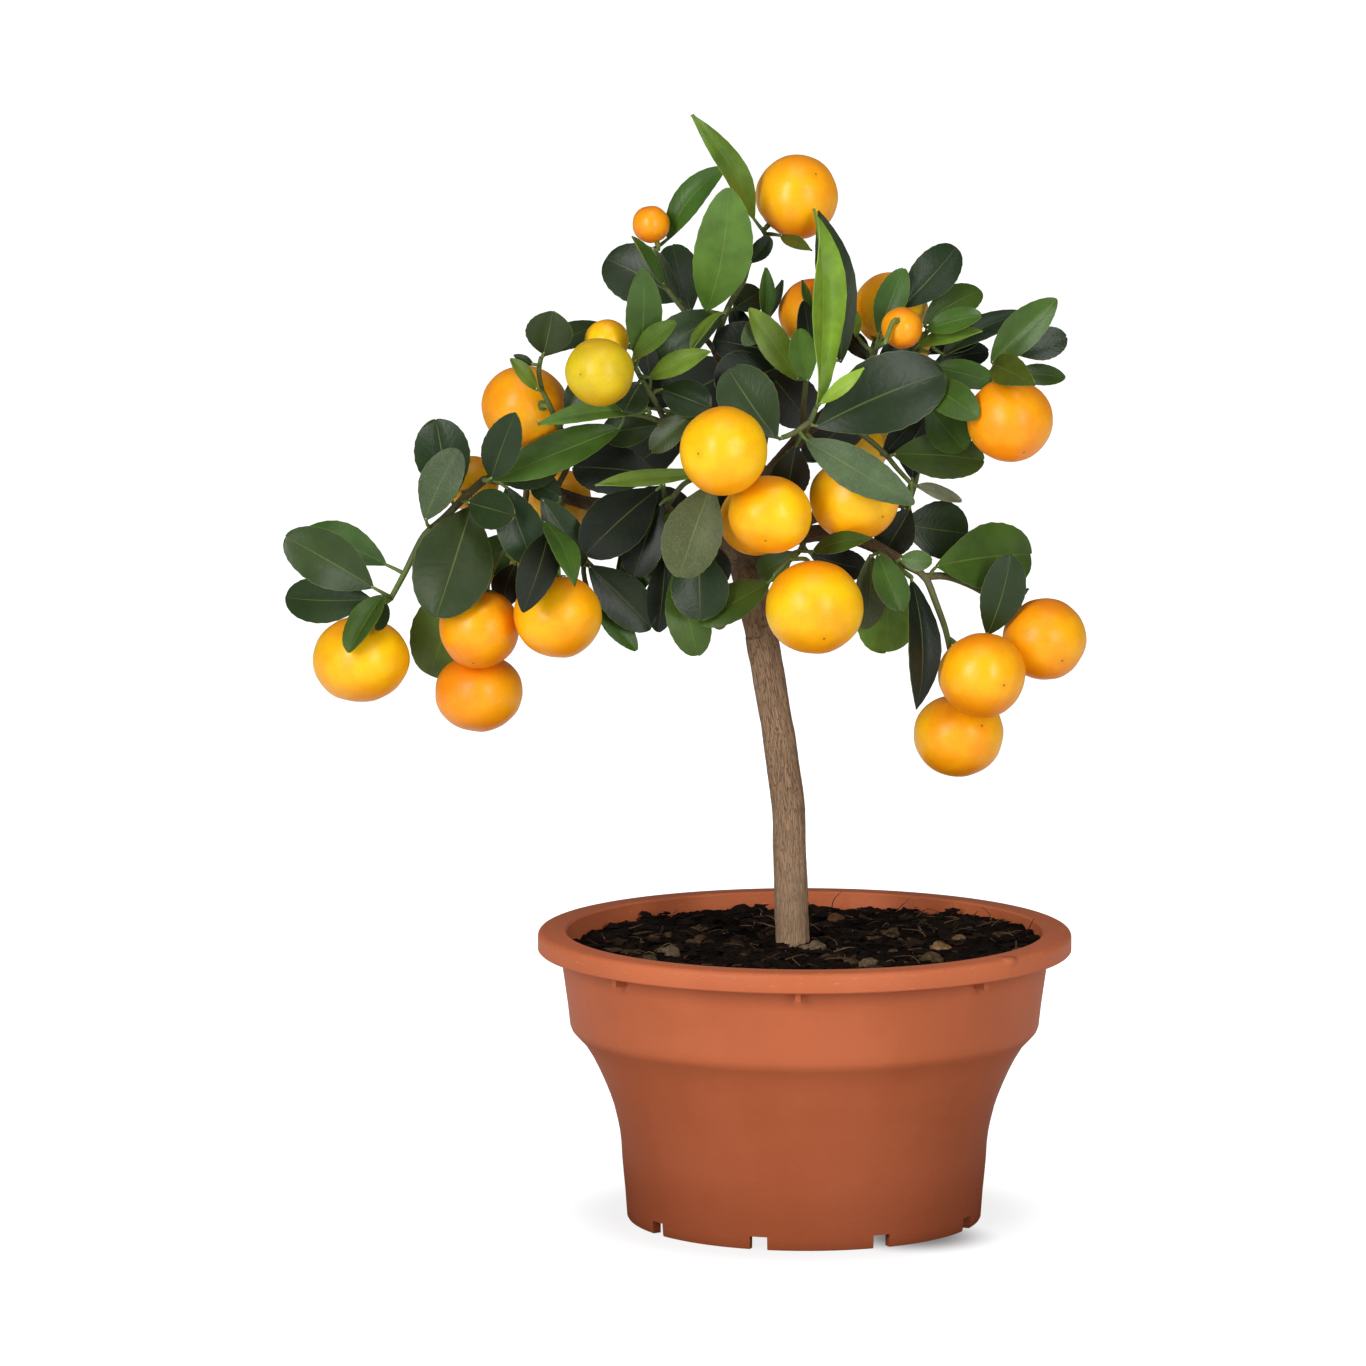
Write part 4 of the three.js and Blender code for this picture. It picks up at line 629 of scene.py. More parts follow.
# ---------------------------------------------------------------- leafy stems: where each leaf goes
# Each stem is a green twig with its leaves on short petioles. A leaf is drawn by the foot and the
# tip of its blade, and is bent forward or back until it clears the wood, the fruits and the leaves
# before it. The hidden part of the crown is filled by a seeded rule, inside the crown's outline.
# A stem is its name, radius at foot and end, twigs, and leaves: foot and tip [x, z, y], width,
# roll and fold in degrees, arch and tone.
STEMS = [
  ["front", 1.3, 1.1,
    [[[-0.5, 340.5, -49], [2, 345, -54], [4.5, 351, -57]],
     [[2, 345, -54], [-5, 340, -55], [-10, 338, -56]]],
    [[5, 352, -60, 6, 436, -46, 20, 50, 38, 0.05, 2],
     [0, 337, -55, 46.5, 310, -72, 18.5, 20, 12, 0.06, 3],
     [4, 342.5, -55, 59, 366, -48, 33, 10, 12, 0.05, 0],
     [-12, 337.5, -58, -33, 367.5, -64, 25, 8, 10, 0.05, 7],
     [6, 352.5, -63, 24.5, 368, -73, 6.5, 20, 20, 0.04, 2],
     [-4, 335, -50, -8, 312, -42, 17, 10, 10, 0.04, 4]]],
  ["top", 1.4, 1.0,
    [[[-39.5, 376, -10], [-33, 394, -13], [-27, 404, -14], [-24.5, 412, -14], [-21, 420, -13],
      [-16, 425, -11]]],
    [[-42.5, 392, -20, -33, 444.5, -38, 25, 10, 20, 0.08, 8],
     [-22, 431, -12, -47.7, 475.6, -24, 13, 38, 18, 0.1, 8],
     [-24, 412.5, -17, -15, 423.5, -21, 8, 0, 15, 0.04, 0],
     [-34, 391, -16, -66, 372.5, -32, 19, 22, 18, 0.08, 7],
     [-34, 392, -22, -49, 374.5, -40, 8, 60, 22, 0.1, 8],
     [-11, 424.5, -15, 2, 418.5, -22, 6, 30, 15, 0.04, 5],
     [-31, 393, -4, -19, 400.5, 4, 14, 15, 12, 0.04, 0]]],
  ["top_left", 1.3, 1.0,
    [[[-38, 374, -8], [-50, 390, -8], [-60, 403, -10], [-62, 411, -11], [-65, 418.5, -12]]],
    [[-59, 422.5, -9, -34.5, 453.5, -18, 15, 35, 20, 0.12, 1],
     [-53, 396.5, 2, -85.5, 415, 10, 26, 12, 10, 0.04, 0],
     [-49, 392, -2, -57, 421, 8, 18, 10, 12, 0.04, 0],
     [-60.5, 403, -14, -74, 424, -20, 9, 58, 22, 0.04, 1]]],
  ["left_upper", 1.3, 1.1,
    [[[-60, 344.5, -25], [-64, 353, -30], [-69, 361, -33], [-73, 368.5, -35]]],
    [[-71.5, 371, -46, -69.5, 410.5, -54, 15.5, 10, 14, 0.04, 1],
     [-74, 372, -50, -55.5, 387.5, -60, 11, 40, 18, 0.06, 8],
     [-67, 363.5, -44, -41, 375, -56, 11, 35, 18, 0.08, 8],
     [-62, 359, -30, -41, 351, -40, 17, 22, 14, 0.05, 0],
     [-70, 362, -40, -77.5, 349, -45, 15, 12, 12, 0.04, 0],
     [-54, 352, -22, -72, 362, -14, 16, 12, 12, 0.04, 4],
     [-66, 362, -24, -68, 377, -16, 9, 10, 12, 0.04, 4]]],
  ["left_lower", 1.3, 1.1,
    [[[-58, 343, -23], [-68, 347, -29], [-78, 348.5, -31]],
     [[-62, 345, -26], [-56, 347, -34], [-50, 349, -37]]],
    [[-66, 349.5, -35, -114.5, 343.5, -44, 11, 40, 24, 0.05, 8],
     [-79, 342, -30, -134, 320.5, -36, 19, 30, 18, 0.05, 1],
     [-48, 348, -40, -66, 332.5, -46, 12, 25, 14, 0.06, 7],
     [-62, 343.5, -22, -87, 340, -28, 17, 28, 14, 0.05, 0]]],
  ["left_bud", 1.3, 1.0,
    [[[-107, 315, 4], [-101, 328, -4], [-103, 338, -20], [-107, 346, -34], [-110, 353, -40],
      [-112.5, 358, -41], [-114, 366, -42], [-113, 372, -43]]],
    [[-112, 373.5, -45, -108, 391.5, -52, 20, 8, 26, 0.05, 7],
     [-112, 373, -38, -86, 387, -17, 14, 38, 15, 0.05, 7],
     [-114.5, 358, -46, -126, 371.8, -51, 7, 30, 15, 0.05, 8],
     [-116, 369, -45, -124.5, 373.3, -49, 4, 30, 15, 0.05, 0],
     [-104, 326, -8, -128, 319.5, -14, 13, 10, 10, 0.04, 0],
     [-102, 347, -31, -95, 364, -28, 10, 10, 12, 0.04, 0]]],
  ["far_left", 1.8, 1.2,
    [[[-137, 320, -4], [-146, 312, -10], [-155, 303, -13], [-163, 296, -14], [-168, 287, -14],
      [-172, 279, -15], [-178, 268, -17]]],
    [[-143, 308.5, -14, -158, 261.5, -44, 34, 5, 12, 0.03, 7],
     [-144.5, 310, -22, -125, 304.5, -42, 17.5, 8, 14, 0.05, 0],
     [-185, 273, -20, -222.5, 295, -26, 23.5, 12, 12, 0.05, 7],
     [-179.5, 283, -12, -216.5, 297, 2, 19, 35, 15, 0.05, 1],
     [-186, 268, -15, -224, 269, -8, 20, 15, 12, 0.05, 7],
     [-163, 302, -20, -149, 332.5, -27, 18, 15, 18, 0.05, 3],
     [-151.5, 310, -8, -158, 345.5, -4, 24, 8, 12, 0.04, 0],
     [-181, 270, -24, -196, 245.5, -44, 15, 40, 34, 0.06, 1],
     [-180, 267, -25, -184, 255, -38, 8, 30, 20, 0.05, 0]]],
  ["left_front", 1.3, 1.1,
    [[[-126, 319, 0], [-132, 319.5, -18], [-137.5, 319.5, -31]]],
    [[-134.5, 320, -35, -124.5, 347.5, -44, 16.5, 10, 16, 0.05, 0],
     [-128, 317, -27, -116.5, 283.5, -34, 20, 10, 12, 0.05, 0]]],
  ["left_twig", 1.4, 1.1,
    [[[-119, 318, 1], [-121, 305, -7], [-127, 292, -13], [-132, 285, -17], [-136, 276, -20]]],
    [[-127, 297, -6, -137, 280, 4, 16, 10, 12, 0.04, 1],
     [-137, 279, -10, -162, 262, 4, 20, 20, 12, 0.05, 1],
     [-145, 279, 1, -161.5, 235, 20, 29, 15, 12, 0.05, 8],
     [-124, 284, -14, -130, 266, -2, 13, 10, 12, 0.04, 4]]],
  ["left_drop", 1.4, 1.1,
    [[[-103, 313, 4], [-109, 308, -13], [-111, 300, -23], [-107, 290, -28]]],
    [[-110, 297, -32, -121, 264, -54, 17, 10, 12, 0.04, 4],
     [-112, 302, -28, -98.5, 275, -48, 12, 38, 15, 0.05, 1],
     [-113, 312, -28, -95.5, 282.5, -38, 16, 12, 14, 0.05, 0],
     [-104, 312, -10, -117, 318.5, -14, 12, 10, 10, 0.04, 0]]],
  ["left_inner", 1.3, 1.1,
    [[[-83, 308, 5], [-90, 299, -3], [-94, 289, -10], [-95, 280, -12], [-93, 271, -12]]],
    [[-93, 283, -17, -66, 256, -20, 20, 12, 14, 0.04, 0],
     [-90, 268, -12, -72, 246.5, -16, 11, 28, 15, 0.04, 1]]],
  ["mid", 1.3, 1.1,
    [[[-52, 301, 5], [-59, 309, -6], [-61, 318, -14]],
     [[-59, 309, -6], [-52, 318, -24], [-44, 321.5, -33]]],
    [[-42, 322.5, -38, -90, 318.8, -44, 9, 45, 18, 0.03, 8],
     [-62, 310, -17, -73.5, 278, -22, 18, 12, 12, 0.04, 4],
     [-63, 316, -9, -94, 288, -4, 26, 18, 10, 0.03, 4],
     [-63, 322, -12, -99.5, 325.5, -9, 22, 12, 10, 0.03, 4],
     [-60, 303, -6, -77.5, 267.5, -10, 16, 12, 12, 0.04, 1]]],
  ["centre_drop", 1.3, 1.2,
    [[[-27, 318, 0], [-34, 320, -20], [-38.5, 321, -40], [-38, 322, -49]]],
    [[-40, 318.5, -46, -54, 278, -56, 25, 8, 12, 0.04, 3]]],
  ["left_under", 1.3, 1.1,
    [[[-43, 297.5, 4], [-47, 291, -12], [-52, 284, -24]]],
    [[-46, 291, -32, -45, 259.5, -36, 25, 8, 12, 0.04, 0],
     [-56, 281, -26, -46, 244, -28, 19, 12, 14, 0.04, 1],
     [-43, 285, -12, -36, 255.5, -20, 14, 15, 12, 0.04, 6],
     [-60, 287, -15, -63, 254, -14, 14, 8, 12, 0.04, 4],
     [-40, 293, -21, -37, 274, -24, 13, 10, 12, 0.04, 4]]],
  ["centre", 1.3, 1.0,
    [[[-1, 339, -6], [-1, 350, -17], [0, 361, -26], [1, 370, -29], [3, 380, -31], [3, 388, -31.5]]],
    [[1, 362, -38, -3, 384.5, -46, 12, 12, 14, 0.05, 8],
     [-3, 362.5, -33, -23.5, 393.5, -38, 13.5, 18, 14, 0.05, 8],
     [2, 371, -33, -1, 396.5, -34, 10, 18, 14, 0.03, 4],
     [15, 370, -34, 6, 435, -33, 17, 15, 14, 0.04, 0],
     [3, 390, -33, -1.5, 405.5, -34, 4, 30, 15, 0.03, 1],
     [-12, 368, -28, -38, 359, -40, 26, 18, 12, 0.05, 4],
     [-8, 374, -20, -39, 380, -24, 20, 18, 12, 0.05, 4]]],
  ["centre_back", 1.2, 1.0,
    [[[-28, 347, -5], [-23, 361, -9], [-19, 376, -13], [-17, 388, -17]]],
    [[-17.5, 389, -20, -17, 410.5, -25, 7, 15, 28, 0.04, 1],
     [-16, 389, -16, -10, 405.5, -14, 5, 30, 15, 0.04, 3],
     [-19, 388, -20, -26.5, 377.8, -31, 10, 5, 20, 0.08, 3],
     [-24, 378, -5, -31, 393, 1, 9, 10, 12, 0.04, 4]]],
  ["right_front", 1.3, 1.0,
    [[[26, 361, -10], [28, 369, -16], [30, 376, -30], [31, 377, -44], [34, 379, -50]]],
    [[31, 382, -29.5, 41.5, 410.5, -34, 13.5, 10, 14, 0.05, 1],
     [40.5, 393.5, -26.5, 64, 419.5, -20, 19, 10, 12, 0.05, 0],
     [21.5, 381, -24, 22, 392, -28, 4, 20, 15, 0.03, 2],
     [31, 372, -14, 45, 377, -4, 12, 12, 12, 0.04, 0],
     [27, 371, -8, 17, 383, -4, 9, 10, 12, 0.04, 4]]],
  ["right_top", 1.3, 1.0,
    [[[43, 372.5, -12], [48, 380, -18], [53, 384.5, -24]]],
    [[51, 384, -32, 74.5, 390.5, -40, 12, 38, 18, 0.05, 1],
     [50, 387, -26, 75, 401.5, -18, 15, 18, 12, 0.05, 1],
     [47, 377, -30, 75, 384.5, -38, 9, 48, 18, 0.05, 8],
     [58, 373, -22, 95, 392, -8, 14, 48, 20, 0.06, 0],
     [52, 374, -18, 73, 381, -12, 12, 38, 15, 0.05, 4],
     [55, 370, -14, 78, 375, -8, 12, 15, 12, 0.04, 4]]],
  ["right", 1.3, 1.0,
    [[[75, 363, -19], [80, 367, -24], [87, 371, -27]]],
    [[79, 370, -32, 106.5, 397.5, -40, 16, 12, 24, 0.05, 1],
     [89, 374, -26, 111, 381.3, -20, 14, 10, 12, 0.04, 0],
     [88, 365.5, -23, 111, 364, -14, 9.5, 18, 12, 0.04, 1],
     [80, 369.5, -31, 97, 361.5, -56, 14, 15, 15, 0.08, 5]]],
  ["right_mid", 1.3, 1.0,
    [[[22, 358, -9], [34, 353, -19], [44, 357, -27], [50, 365, -28]],
     [[34, 353, -19], [45, 348, -21]]],
    [[50, 361, -36, 73, 347.5, -60, 16, 22, 14, 0.05, 1],
     [54, 368.5, -30, 81, 361.5, -56, 13, 28, 14, 0.05, 1],
     [52, 352, -20, 68, 333, -28, 18, 15, 12, 0.04, 1]]],
  ["right_low", 1.3, 1.0,
    [[[9, 349, -8], [22, 341, -13], [33, 332, -17], [39, 325, -19], [45, 318.5, -21]]],
    [[37, 331, -23, 76, 328.5, -30, 20, 8, 12, 0.04, 1],
     [47, 317.5, -18, 67, 311, -8, 8, 48, 12, 0.04, 6],
     [40, 301, -12, 70, 297, 2, 25, 12, 12, 0.04, 0],
     [33, 330, -8, 49, 347, -2, 10, 10, 12, 0.04, 4],
     [45, 308, -19, 33, 288, -21, 17, 10, 12, 0.04, 4]]],
  ["right_drop", 1.3, 1.1,
    [[[29, 291.5, -28.5], [34, 287, -35], [40, 282, -37], [45.5, 278, -38]]],
    [[45.5, 277, -40, 49, 221, -46, 17, 35, 18, 0.1, 4],
     [28, 288, -40, 26, 255.5, -46, 15, 18, 12, 0.04, 3],
     [31, 288.5, -38, 41, 263.5, -40, 15, 22, 14, 0.04, 1],
     [33, 281, -32, 35, 245.5, -30, 27, 8, 12, 0.04, 2],
     [40, 286, -42, 54, 285, -46, 9, 10, 12, 0.04, 1]]],
  ["hanging", 1.7, 1.2,
    [[[47.5, 281.4, -33], [52, 277, -34], [56, 267, -34], [60, 256, -33], [62, 247, -31]],
     [[51, 278.3, -33.8], [60, 278.5, -28], [70, 275, -20], [80, 269.5, -13], [88, 265.5, -12]]],
    [[56, 283, -36, 97.5, 288, 2, 29, 8, 10, 0.04, 1],
     [78, 253, -25, 88, 287.5, -30, 19, 8, 12, 0.04, 0],
     [90, 267, -13, 95.5, 273.5, -15, 2.6, 20, 12, 0.03, 0]]],
  ["under", 1.3, 1.1,
    [[[0, 296, -15.5], [-2, 290, -23], [-8, 284, -26], [-13, 279, -27]]],
    [[-15, 276, -28, -46, 258.5, -42, 17, 28, 14, 0.05, 1],
     [3, 289, -34, 28, 295, -52, 9, 28, 14, 0.05, 1],
     [-5, 289, -20, -20, 279, -14, 13, 12, 12, 0.04, 1],
     [2, 288, -20, 26, 281.5, -16, 14, 10, 10, 0.04, 4]]],
  ["back_top", 1.3, 1.0, [[[-14, 352, 64], [-18, 368, 70], [-28, 380, 70]]], []],
  ["back_left", 1.3, 1.0, [[[-19, 335, 48], [-40, 342, 62], [-62, 350, 66], [-80, 352, 62]]], []],
  ["back_low", 1.3, 1.0, [[[-100, 304, 56], [-96, 288, 62], [-84, 276, 64]]], []],
  ["back_mid", 1.3, 1.0, [[[-60, 304.5, 29], [-56, 292, 42], [-44, 284, 50]]], []],
  ["back_right", 1.3, 1.0, [[[44, 309, 54], [48, 326, 60], [44, 346, 60], [34, 360, 54]]], []]]
# A fruit is its bearer, its centre x, z, y, width, height, and the way to its calyx (x, y, z).
FRUITS = [
  ["top", -3.9, 441, -10, 35, 35.5, -0.7, 0, -0.7],
  ["top_left", -66, 429, -14, 16, 16, 0.3, 0.1, -0.9],
  ["centre", 3.5, 391, -11, 30, 30, 0, -0.5, -0.85],
  ["right_front", 36, 393, -8, 32, 31, -0.4, -0.4, -0.8],
  ["right_front", 41, 385, -40, 17.5, 17.5, -0.3, -0.9, 0.45],
  ["right_top", 47.5, 377.5, 9, 13, 13, 0, -0.9, -0.3],
  ["right", 87.2, 345.8, -45, 36.5, 35, -0.3, 0.6, 0.7],
  ["left_upper", -85, 379, -36, 19, 19, 0.9, 0.2, -0.2],
  ["left_upper", -88, 366, -62, 28.7, 28.4, 0.6, 0.8, 0.1],
  ["left_bud", -120, 351, -18, 37, 35.5, 0.45, -0.85, 0.1],
  ["centre_drop", -35, 332, -78, 37, 37, -0.1, 0.95, -0.3],
  ["trunk", -15, 305, -62, 35, 33, 0.1, 0.75, 0.65],
  ["trunk", -21, 303, -27, 31, 31, -0.2, 0.95, -0.1],
  ["front", 21, 312, -38, 38, 36, -0.5, -0.1, 0.85],
  ["under", 4, 265, -58, 42, 39.5, -0.1, 0.6, 0.8],
  ["far_left", -190.7, 242.3, -18, 42, 36.5, 0.3, 0.1, 0.9],
  ["left_twig", -140, 256, -21, 34, 35, 0.2, 0, 0.98],
  ["left_twig", -140.3, 228, -3, 38, 33.5, 0.1, 0.3, 0.95],
  ["left_drop", -106, 261, -34, 38, 35, 0, 0.15, 0.98],
  ["hanging", 76, 236, -40, 37, 36, -0.6, 0.4, 0.65],
  ["hanging", 102.5, 251.5, -18, 36, 35, -0.7, 0.15, 0.7],
  ["hanging", 66, 210, -14, 38.6, 35.5, -0.15, -0.1, 0.97],
  ["far_left", -143, 318, 12, 24, 24, -0.1, -0.9, -0.3],
  ["trunk", -105, 311, 22, 27, 27, 0, -0.95, 0],
  ["left_twig", -129, 284, 9, 22, 22, 0.2, -0.7, 0.7],
  ["back_mid", -46, 270, 50, 29, 29, 0.1, 0, 1],
  ["back_right", 20, 336, 72, 33, 32, 0.7, -0.3, 0.5]]
CROWN = [  # its outline, x and z on the drawing plane
  [-126, 318], [-112, 334], [-92, 350], [-66, 366], [-48, 378], [-28, 386], [-4, 380], [10, 372],
  [40, 372], [60, 368], [66, 345], [62, 325], [58, 300], [40, 292], [16, 290], [-6, 288], [-30, 290],
  [-50, 272], [-84, 266], [-100, 284], [-118, 296]]
GAPS = [[-90, 317, 6], [-66, 311, 3.5], [50, 339.5, 5]]  # holes to see through: x, z, radius
FILL_SEED = 4242
FILL_TRIES = 30
FILL_LEAVES = 2  # on each hidden stem
FILL_LEAF = {
    "length": (38, 54), "petiole": (5, 8), "slimness": (0.46, 0.56), "depth": (-0.8, 0.8),
    "roll": (-10, 40), "fold": (8, 18), "arch": (0.03, 0.08)}
# The hidden leaves take tone 4, whose near-black colour is a painted shade for the inside of the crown.
FILL_TONE = 4
STATIONS = [[0, 0.08], [0.3, 0.47], [0.68, 0.46], [1, 0.1]]  # share of the length, share of the width
CLEAR = 1.3  # room that a leaf keeps round it
STALK_REACH = 3.0  # how far a stalk stands off before it turns to the twig
LEAST_HALF = 0.9  # half width of the coarse blade at its ends
BENDS = [(0, 0), *[(foot * way, tip * way)  # how far the foot and the tip move in depth
                   for foot, tip in ((0, 5), (2, 10), (3, 15), (5, 20), (6, 26)) for way in (1, -1)]]


def nearest_on(paths, target):
    """The point of some paths that lies nearest to a target."""
    best = None
    for points in paths:
        for a, b in zip(points, points[1:]):
            share = min(max((target - a).dot(b - a) / (b - a).length_squared, 0), 1)
            hit = a.lerp(b, share)
            if best is None or (hit - target).length < (best - target).length:
                best = hit
    return best


def leaf_frame(foot, tip, roll):
    """The way along a leaf, the way its face looks and the way across it."""
    ahead = (tip - foot).normalized()
    face = Vector((0, -1, 0))
    face = (face - ahead * face.dot(ahead)).normalized()
    side = ahead.cross(face)
    lean = math.copysign(1, side.z if abs(side.z) > 0.3 else side.x)
    face = face * math.cos(roll) + side * math.sin(roll) * lean
    return ahead, face, ahead.cross(face)


def outline_of(leaf):
    """The coarse blade that the crossing test reads: its triangles, edges and points."""
    ahead, face, side = leaf_frame(leaf["foot"], leaf["tip"], leaf["roll"])
    length = (leaf["tip"] - leaf["foot"]).length
    grid = []
    for t, share in STATIONS:
        mid = leaf["foot"] + ahead * length * t + face * leaf["arch"] * length * 4 * t * (1 - t)
        half = max(share * leaf["width"], LEAST_HALF)
        out, up = half * math.cos(leaf["fold"]), half * math.sin(leaf["fold"])
        grid.append([mid + side * s * out + face * abs(s) * up for s in (-1, 0, 1)])
    triangles, edges = [], [[leaf["root"], leaf["foot"]]]
    for i, row in enumerate(grid):
        edges += [[row[0], row[1]], [row[1], row[2]]]
        if i + 1 == len(grid):
            continue
        after = grid[i + 1]
        edges += [[a, b] for a, b in zip(row, after)]
        for j in (0, 1):
            triangles += [[row[j], row[j + 1], after[j + 1]], [row[j], after[j + 1], after[j]]]
    points = np.array([point for row in grid for point in row])
    centre = np.array(leaf["foot"].lerp(leaf["tip"], 0.5))
    reach = np.linalg.norm(np.vstack([points, leaf["root"]]) - centre, axis=1).max()
    return {"triangles": np.array(triangles), "edges": np.array(edges), "points": points,
            "centre": centre, "reach": reach, "face": np.array(face)}


def passes(edges, triangles):
    """How many times edges pass through triangles."""
    a = triangles[None, :, 0]
    ab, ac = triangles[None, :, 1] - a, triangles[None, :, 2] - a
    start = edges[:, None, 0]
    line = edges[:, None, 1] - start
    p = np.cross(line, ac)
    scale = (ab * p).sum(-1)
    scale = np.where(abs(scale) < 1e-9, np.nan, scale)
    s = start - a
    u = (s * p).sum(-1) / scale
    q = np.cross(s, ab)
    v = (line * q).sum(-1) / scale
    t = (ac * q).sum(-1) / scale
    with np.errstate(invalid="ignore"):
        hit = (u >= 0) & (u <= 1) & (v >= 0) & (u + v <= 1) & (t >= 0) & (t <= 1)
    return int(hit.sum())


def crossings(one, two):
    """Places where two leaves cross or come too close."""
    if np.linalg.norm(one["centre"] - two["centre"]) > one["reach"] + two["reach"] + CLEAR:
        return 0
    return sum(passes(a["edges"] + a["face"] * shift, b["triangles"])
               for a, b in ((one, two), (two, one)) for shift in (0, CLEAR, -CLEAR))


def fruit_hits(form, fruits):
    count = 0
    for fruit in fruits:
        keep = fruit["radius"] + CLEAR
        centre = np.array(fruit["centre"])
        if np.linalg.norm(form["centre"] - centre) > form["reach"] + keep:
            continue
        middles = np.vstack([form["triangles"].mean(axis=1), form["points"]])
        count += int((np.linalg.norm(middles - centre, axis=1) < keep).sum())
    return count


def wood_lines(paths, radius):
    return [(a, b, radius) for points in paths for a, b in zip(points, points[1:])]


def packed_lines(lines):
    return np.array([[a, b] for a, b, _ in lines]), np.array([radius for _, _, radius in lines])


def wood_hits(form, lines):
    """How often a leaf meets wood that isn't its own."""
    ends, radii = lines
    count = passes(ends, form["triangles"])
    start = ends[None, :, 0]
    line = ends[None, :, 1] - start
    away = form["points"][:, None] - start
    share = np.clip((away * line).sum(-1) / (line * line).sum(-1), 0, 1)
    far = np.linalg.norm(away - line * share[..., None], axis=-1)
    return count + int((far < radii + CLEAR).sum())


def make_draw(seed):
    """A small random draw that any language repeats exactly."""
    state = seed
    while True:
        state = state * 16807 % 2147483647
        yield state / 2147483647


def inside_crown(x, z):
    inside = False
    for (xi, zi), (xj, zj) in zip(CROWN, [CROWN[-1], *CROWN[:-1]]):
        if (zi > z) != (zj > z) and x < (xj - xi) * (z - zi) / (zj - zi) + xi:
            inside = not inside
    return inside and all(math.hypot(x - gx, z - gz) > r for gx, gz, r in GAPS)


def drawn_leaf(draw, paths):
    """A leaf drawn at random from a stem."""
    def between(limits):
        return limits[0] + next(draw) * (limits[1] - limits[0])

    points = paths[int(next(draw) * len(paths))]
    step = int(next(draw) * (len(points) - 1))
    root = points[step].lerp(points[step + 1], next(draw))
    turn = between((0, 2 * math.pi))
    depth = between(FILL_LEAF["depth"])
    way = Vector((math.cos(turn), depth, math.sin(turn) * 0.8 - 0.1)).normalized()
    length = between(FILL_LEAF["length"])
    foot = root + way * between(FILL_LEAF["petiole"])
    leaf = {"foot": foot, "tip": foot + way * length, "width": length * between(FILL_LEAF["slimness"])}
    leaf["roll"] = math.radians(between(FILL_LEAF["roll"]))
    leaf["fold"] = math.radians(between(FILL_LEAF["fold"]))
    return leaf | {"arch": between(FILL_LEAF["arch"]), "root": root, "tone": FILL_TONE}


stems = [
    {"name": name, "foot": foot, "end": end, "paths": [drawn(path) for path in twigs], "rows": rows}
    for name, foot, end, twigs, rows in STEMS]
bearers = {"trunk": limb_paths} | {stem["name"]: stem["paths"] for stem in stems}
fruits = []
for i, (bearer, x, z, y, width, height, *way) in enumerate(FRUITS):
    fruit = {"name": f"fruit_{i + 1:02}", "centre": sight(x, z, y), "way": Vector(way).normalized(),
             "width": width, "height": height, "radius": (width + height) / 4}
    fruit["bend"] = fruit["centre"] + fruit["way"] * (fruit["radius"] + STALK_REACH)
    fruit["root"] = nearest_on(bearers[bearer], fruit["bend"])
    fruits.append(fruit)

forms = []
limb_wood = sum((wood_lines([points], limb[0]) for limb, points in zip(TRUNK, limb_paths)), [])
stem_wood = [wood_lines(stem["paths"], stem["foot"]) for stem in stems]
for own, stem in enumerate(stems):
    stem["others"] = packed_lines(sum(stem_wood[:own] + stem_wood[own + 1:], limb_wood))
    stem["leaves"] = []
    for fx, fz, fy, tx, tz, ty, width, roll, fold, arch, tone in stem["rows"]:
        best = None
        for foot_shift, tip_shift in BENDS:
            foot, tip = sight(fx, fz, fy + foot_shift), sight(tx, tz, ty + tip_shift)
            leaf = {"foot": foot, "tip": tip, "root": nearest_on(stem["paths"], foot), "width": width,
                    "roll": math.radians(roll), "fold": math.radians(fold), "arch": arch, "tone": tone}
            form = outline_of(leaf)
            bad = (sum(crossings(form, other) for other in forms) + fruit_hits(form, fruits)
                   + wood_hits(form, stem["others"]))
            if best is None or bad < best[2]:
                best = leaf, form, bad
            if bad == 0:
                break
        stem["leaves"].append(best[0])
        forms.append(best[1])
draw = make_draw(FILL_SEED)
for stem in stems:
    if stem["rows"]:
        continue
    room = FILL_LEAVES
    for _ in range(FILL_TRIES):
        if room == 0:
            break
        leaf = drawn_leaf(draw, stem["paths"])
        form = outline_of(leaf)
        hidden = all(inside_crown(x, z) for x, z in shown_at(form["points"]))
        if not hidden or fruit_hits(form, fruits) or wood_hits(form, stem["others"]):
            continue
        if any(crossings(form, other) for other in forms):
            continue
        stem["leaves"].append(leaf)
        forms.append(form)
        room -= 1

# ---------------------------------------------------------------- leafy stems: twigs and blades
# Twigs are green wood, browner and thicker at the foot. A blade is leathery and glossy above and
# dull below, folded along its midrib, with a faintly toothed edge, on a short round petiole.
BLADE = 0.45  # thickness
LEAST_REACH = 0.45  # half width of a blade at its ends
BLADE_ROWS = 26
BLADE_COLUMNS = 6
TWIG_STEP = 3.0
TWIG_SIDES = 10
PETIOLE = 0.85
PETIOLE_TAPER = (1.15, 0.75)
CLEAR_OF_VEINS = (0.25, 0.5, 1)  # place on the blade that a twig's skin borrows
LEAF_SEED = 77
# Tone 4 is near black: a painted shade for leaves deep inside the crown, in the shade of the others.
TONES = [  # colour of the upper face, roughness
    (32, 48, 20, 0.32), (58, 84, 24, 0.34), (116, 150, 40, 0.38), (68, 80, 46, 0.46),
    (14, 22, 10, 0.4), (84, 94, 24, 0.4), (140, 146, 118, 0.6), (44, 60, 24, 0.34), (84, 110, 35, 0.36)]


def blade_share(t, slim):
    """Half width of a blade at a share of its length, as a share of the widest. Wide ones are blunt."""
    blunt = min(0.95, max(0.42, 1.35 - 1.9 * slim))
    wave = math.sin(math.pi * t ** (1.04 + min(0.2, max(0, slim - 0.4))))
    return wave ** (0.72 if t < 0.5 else blunt)


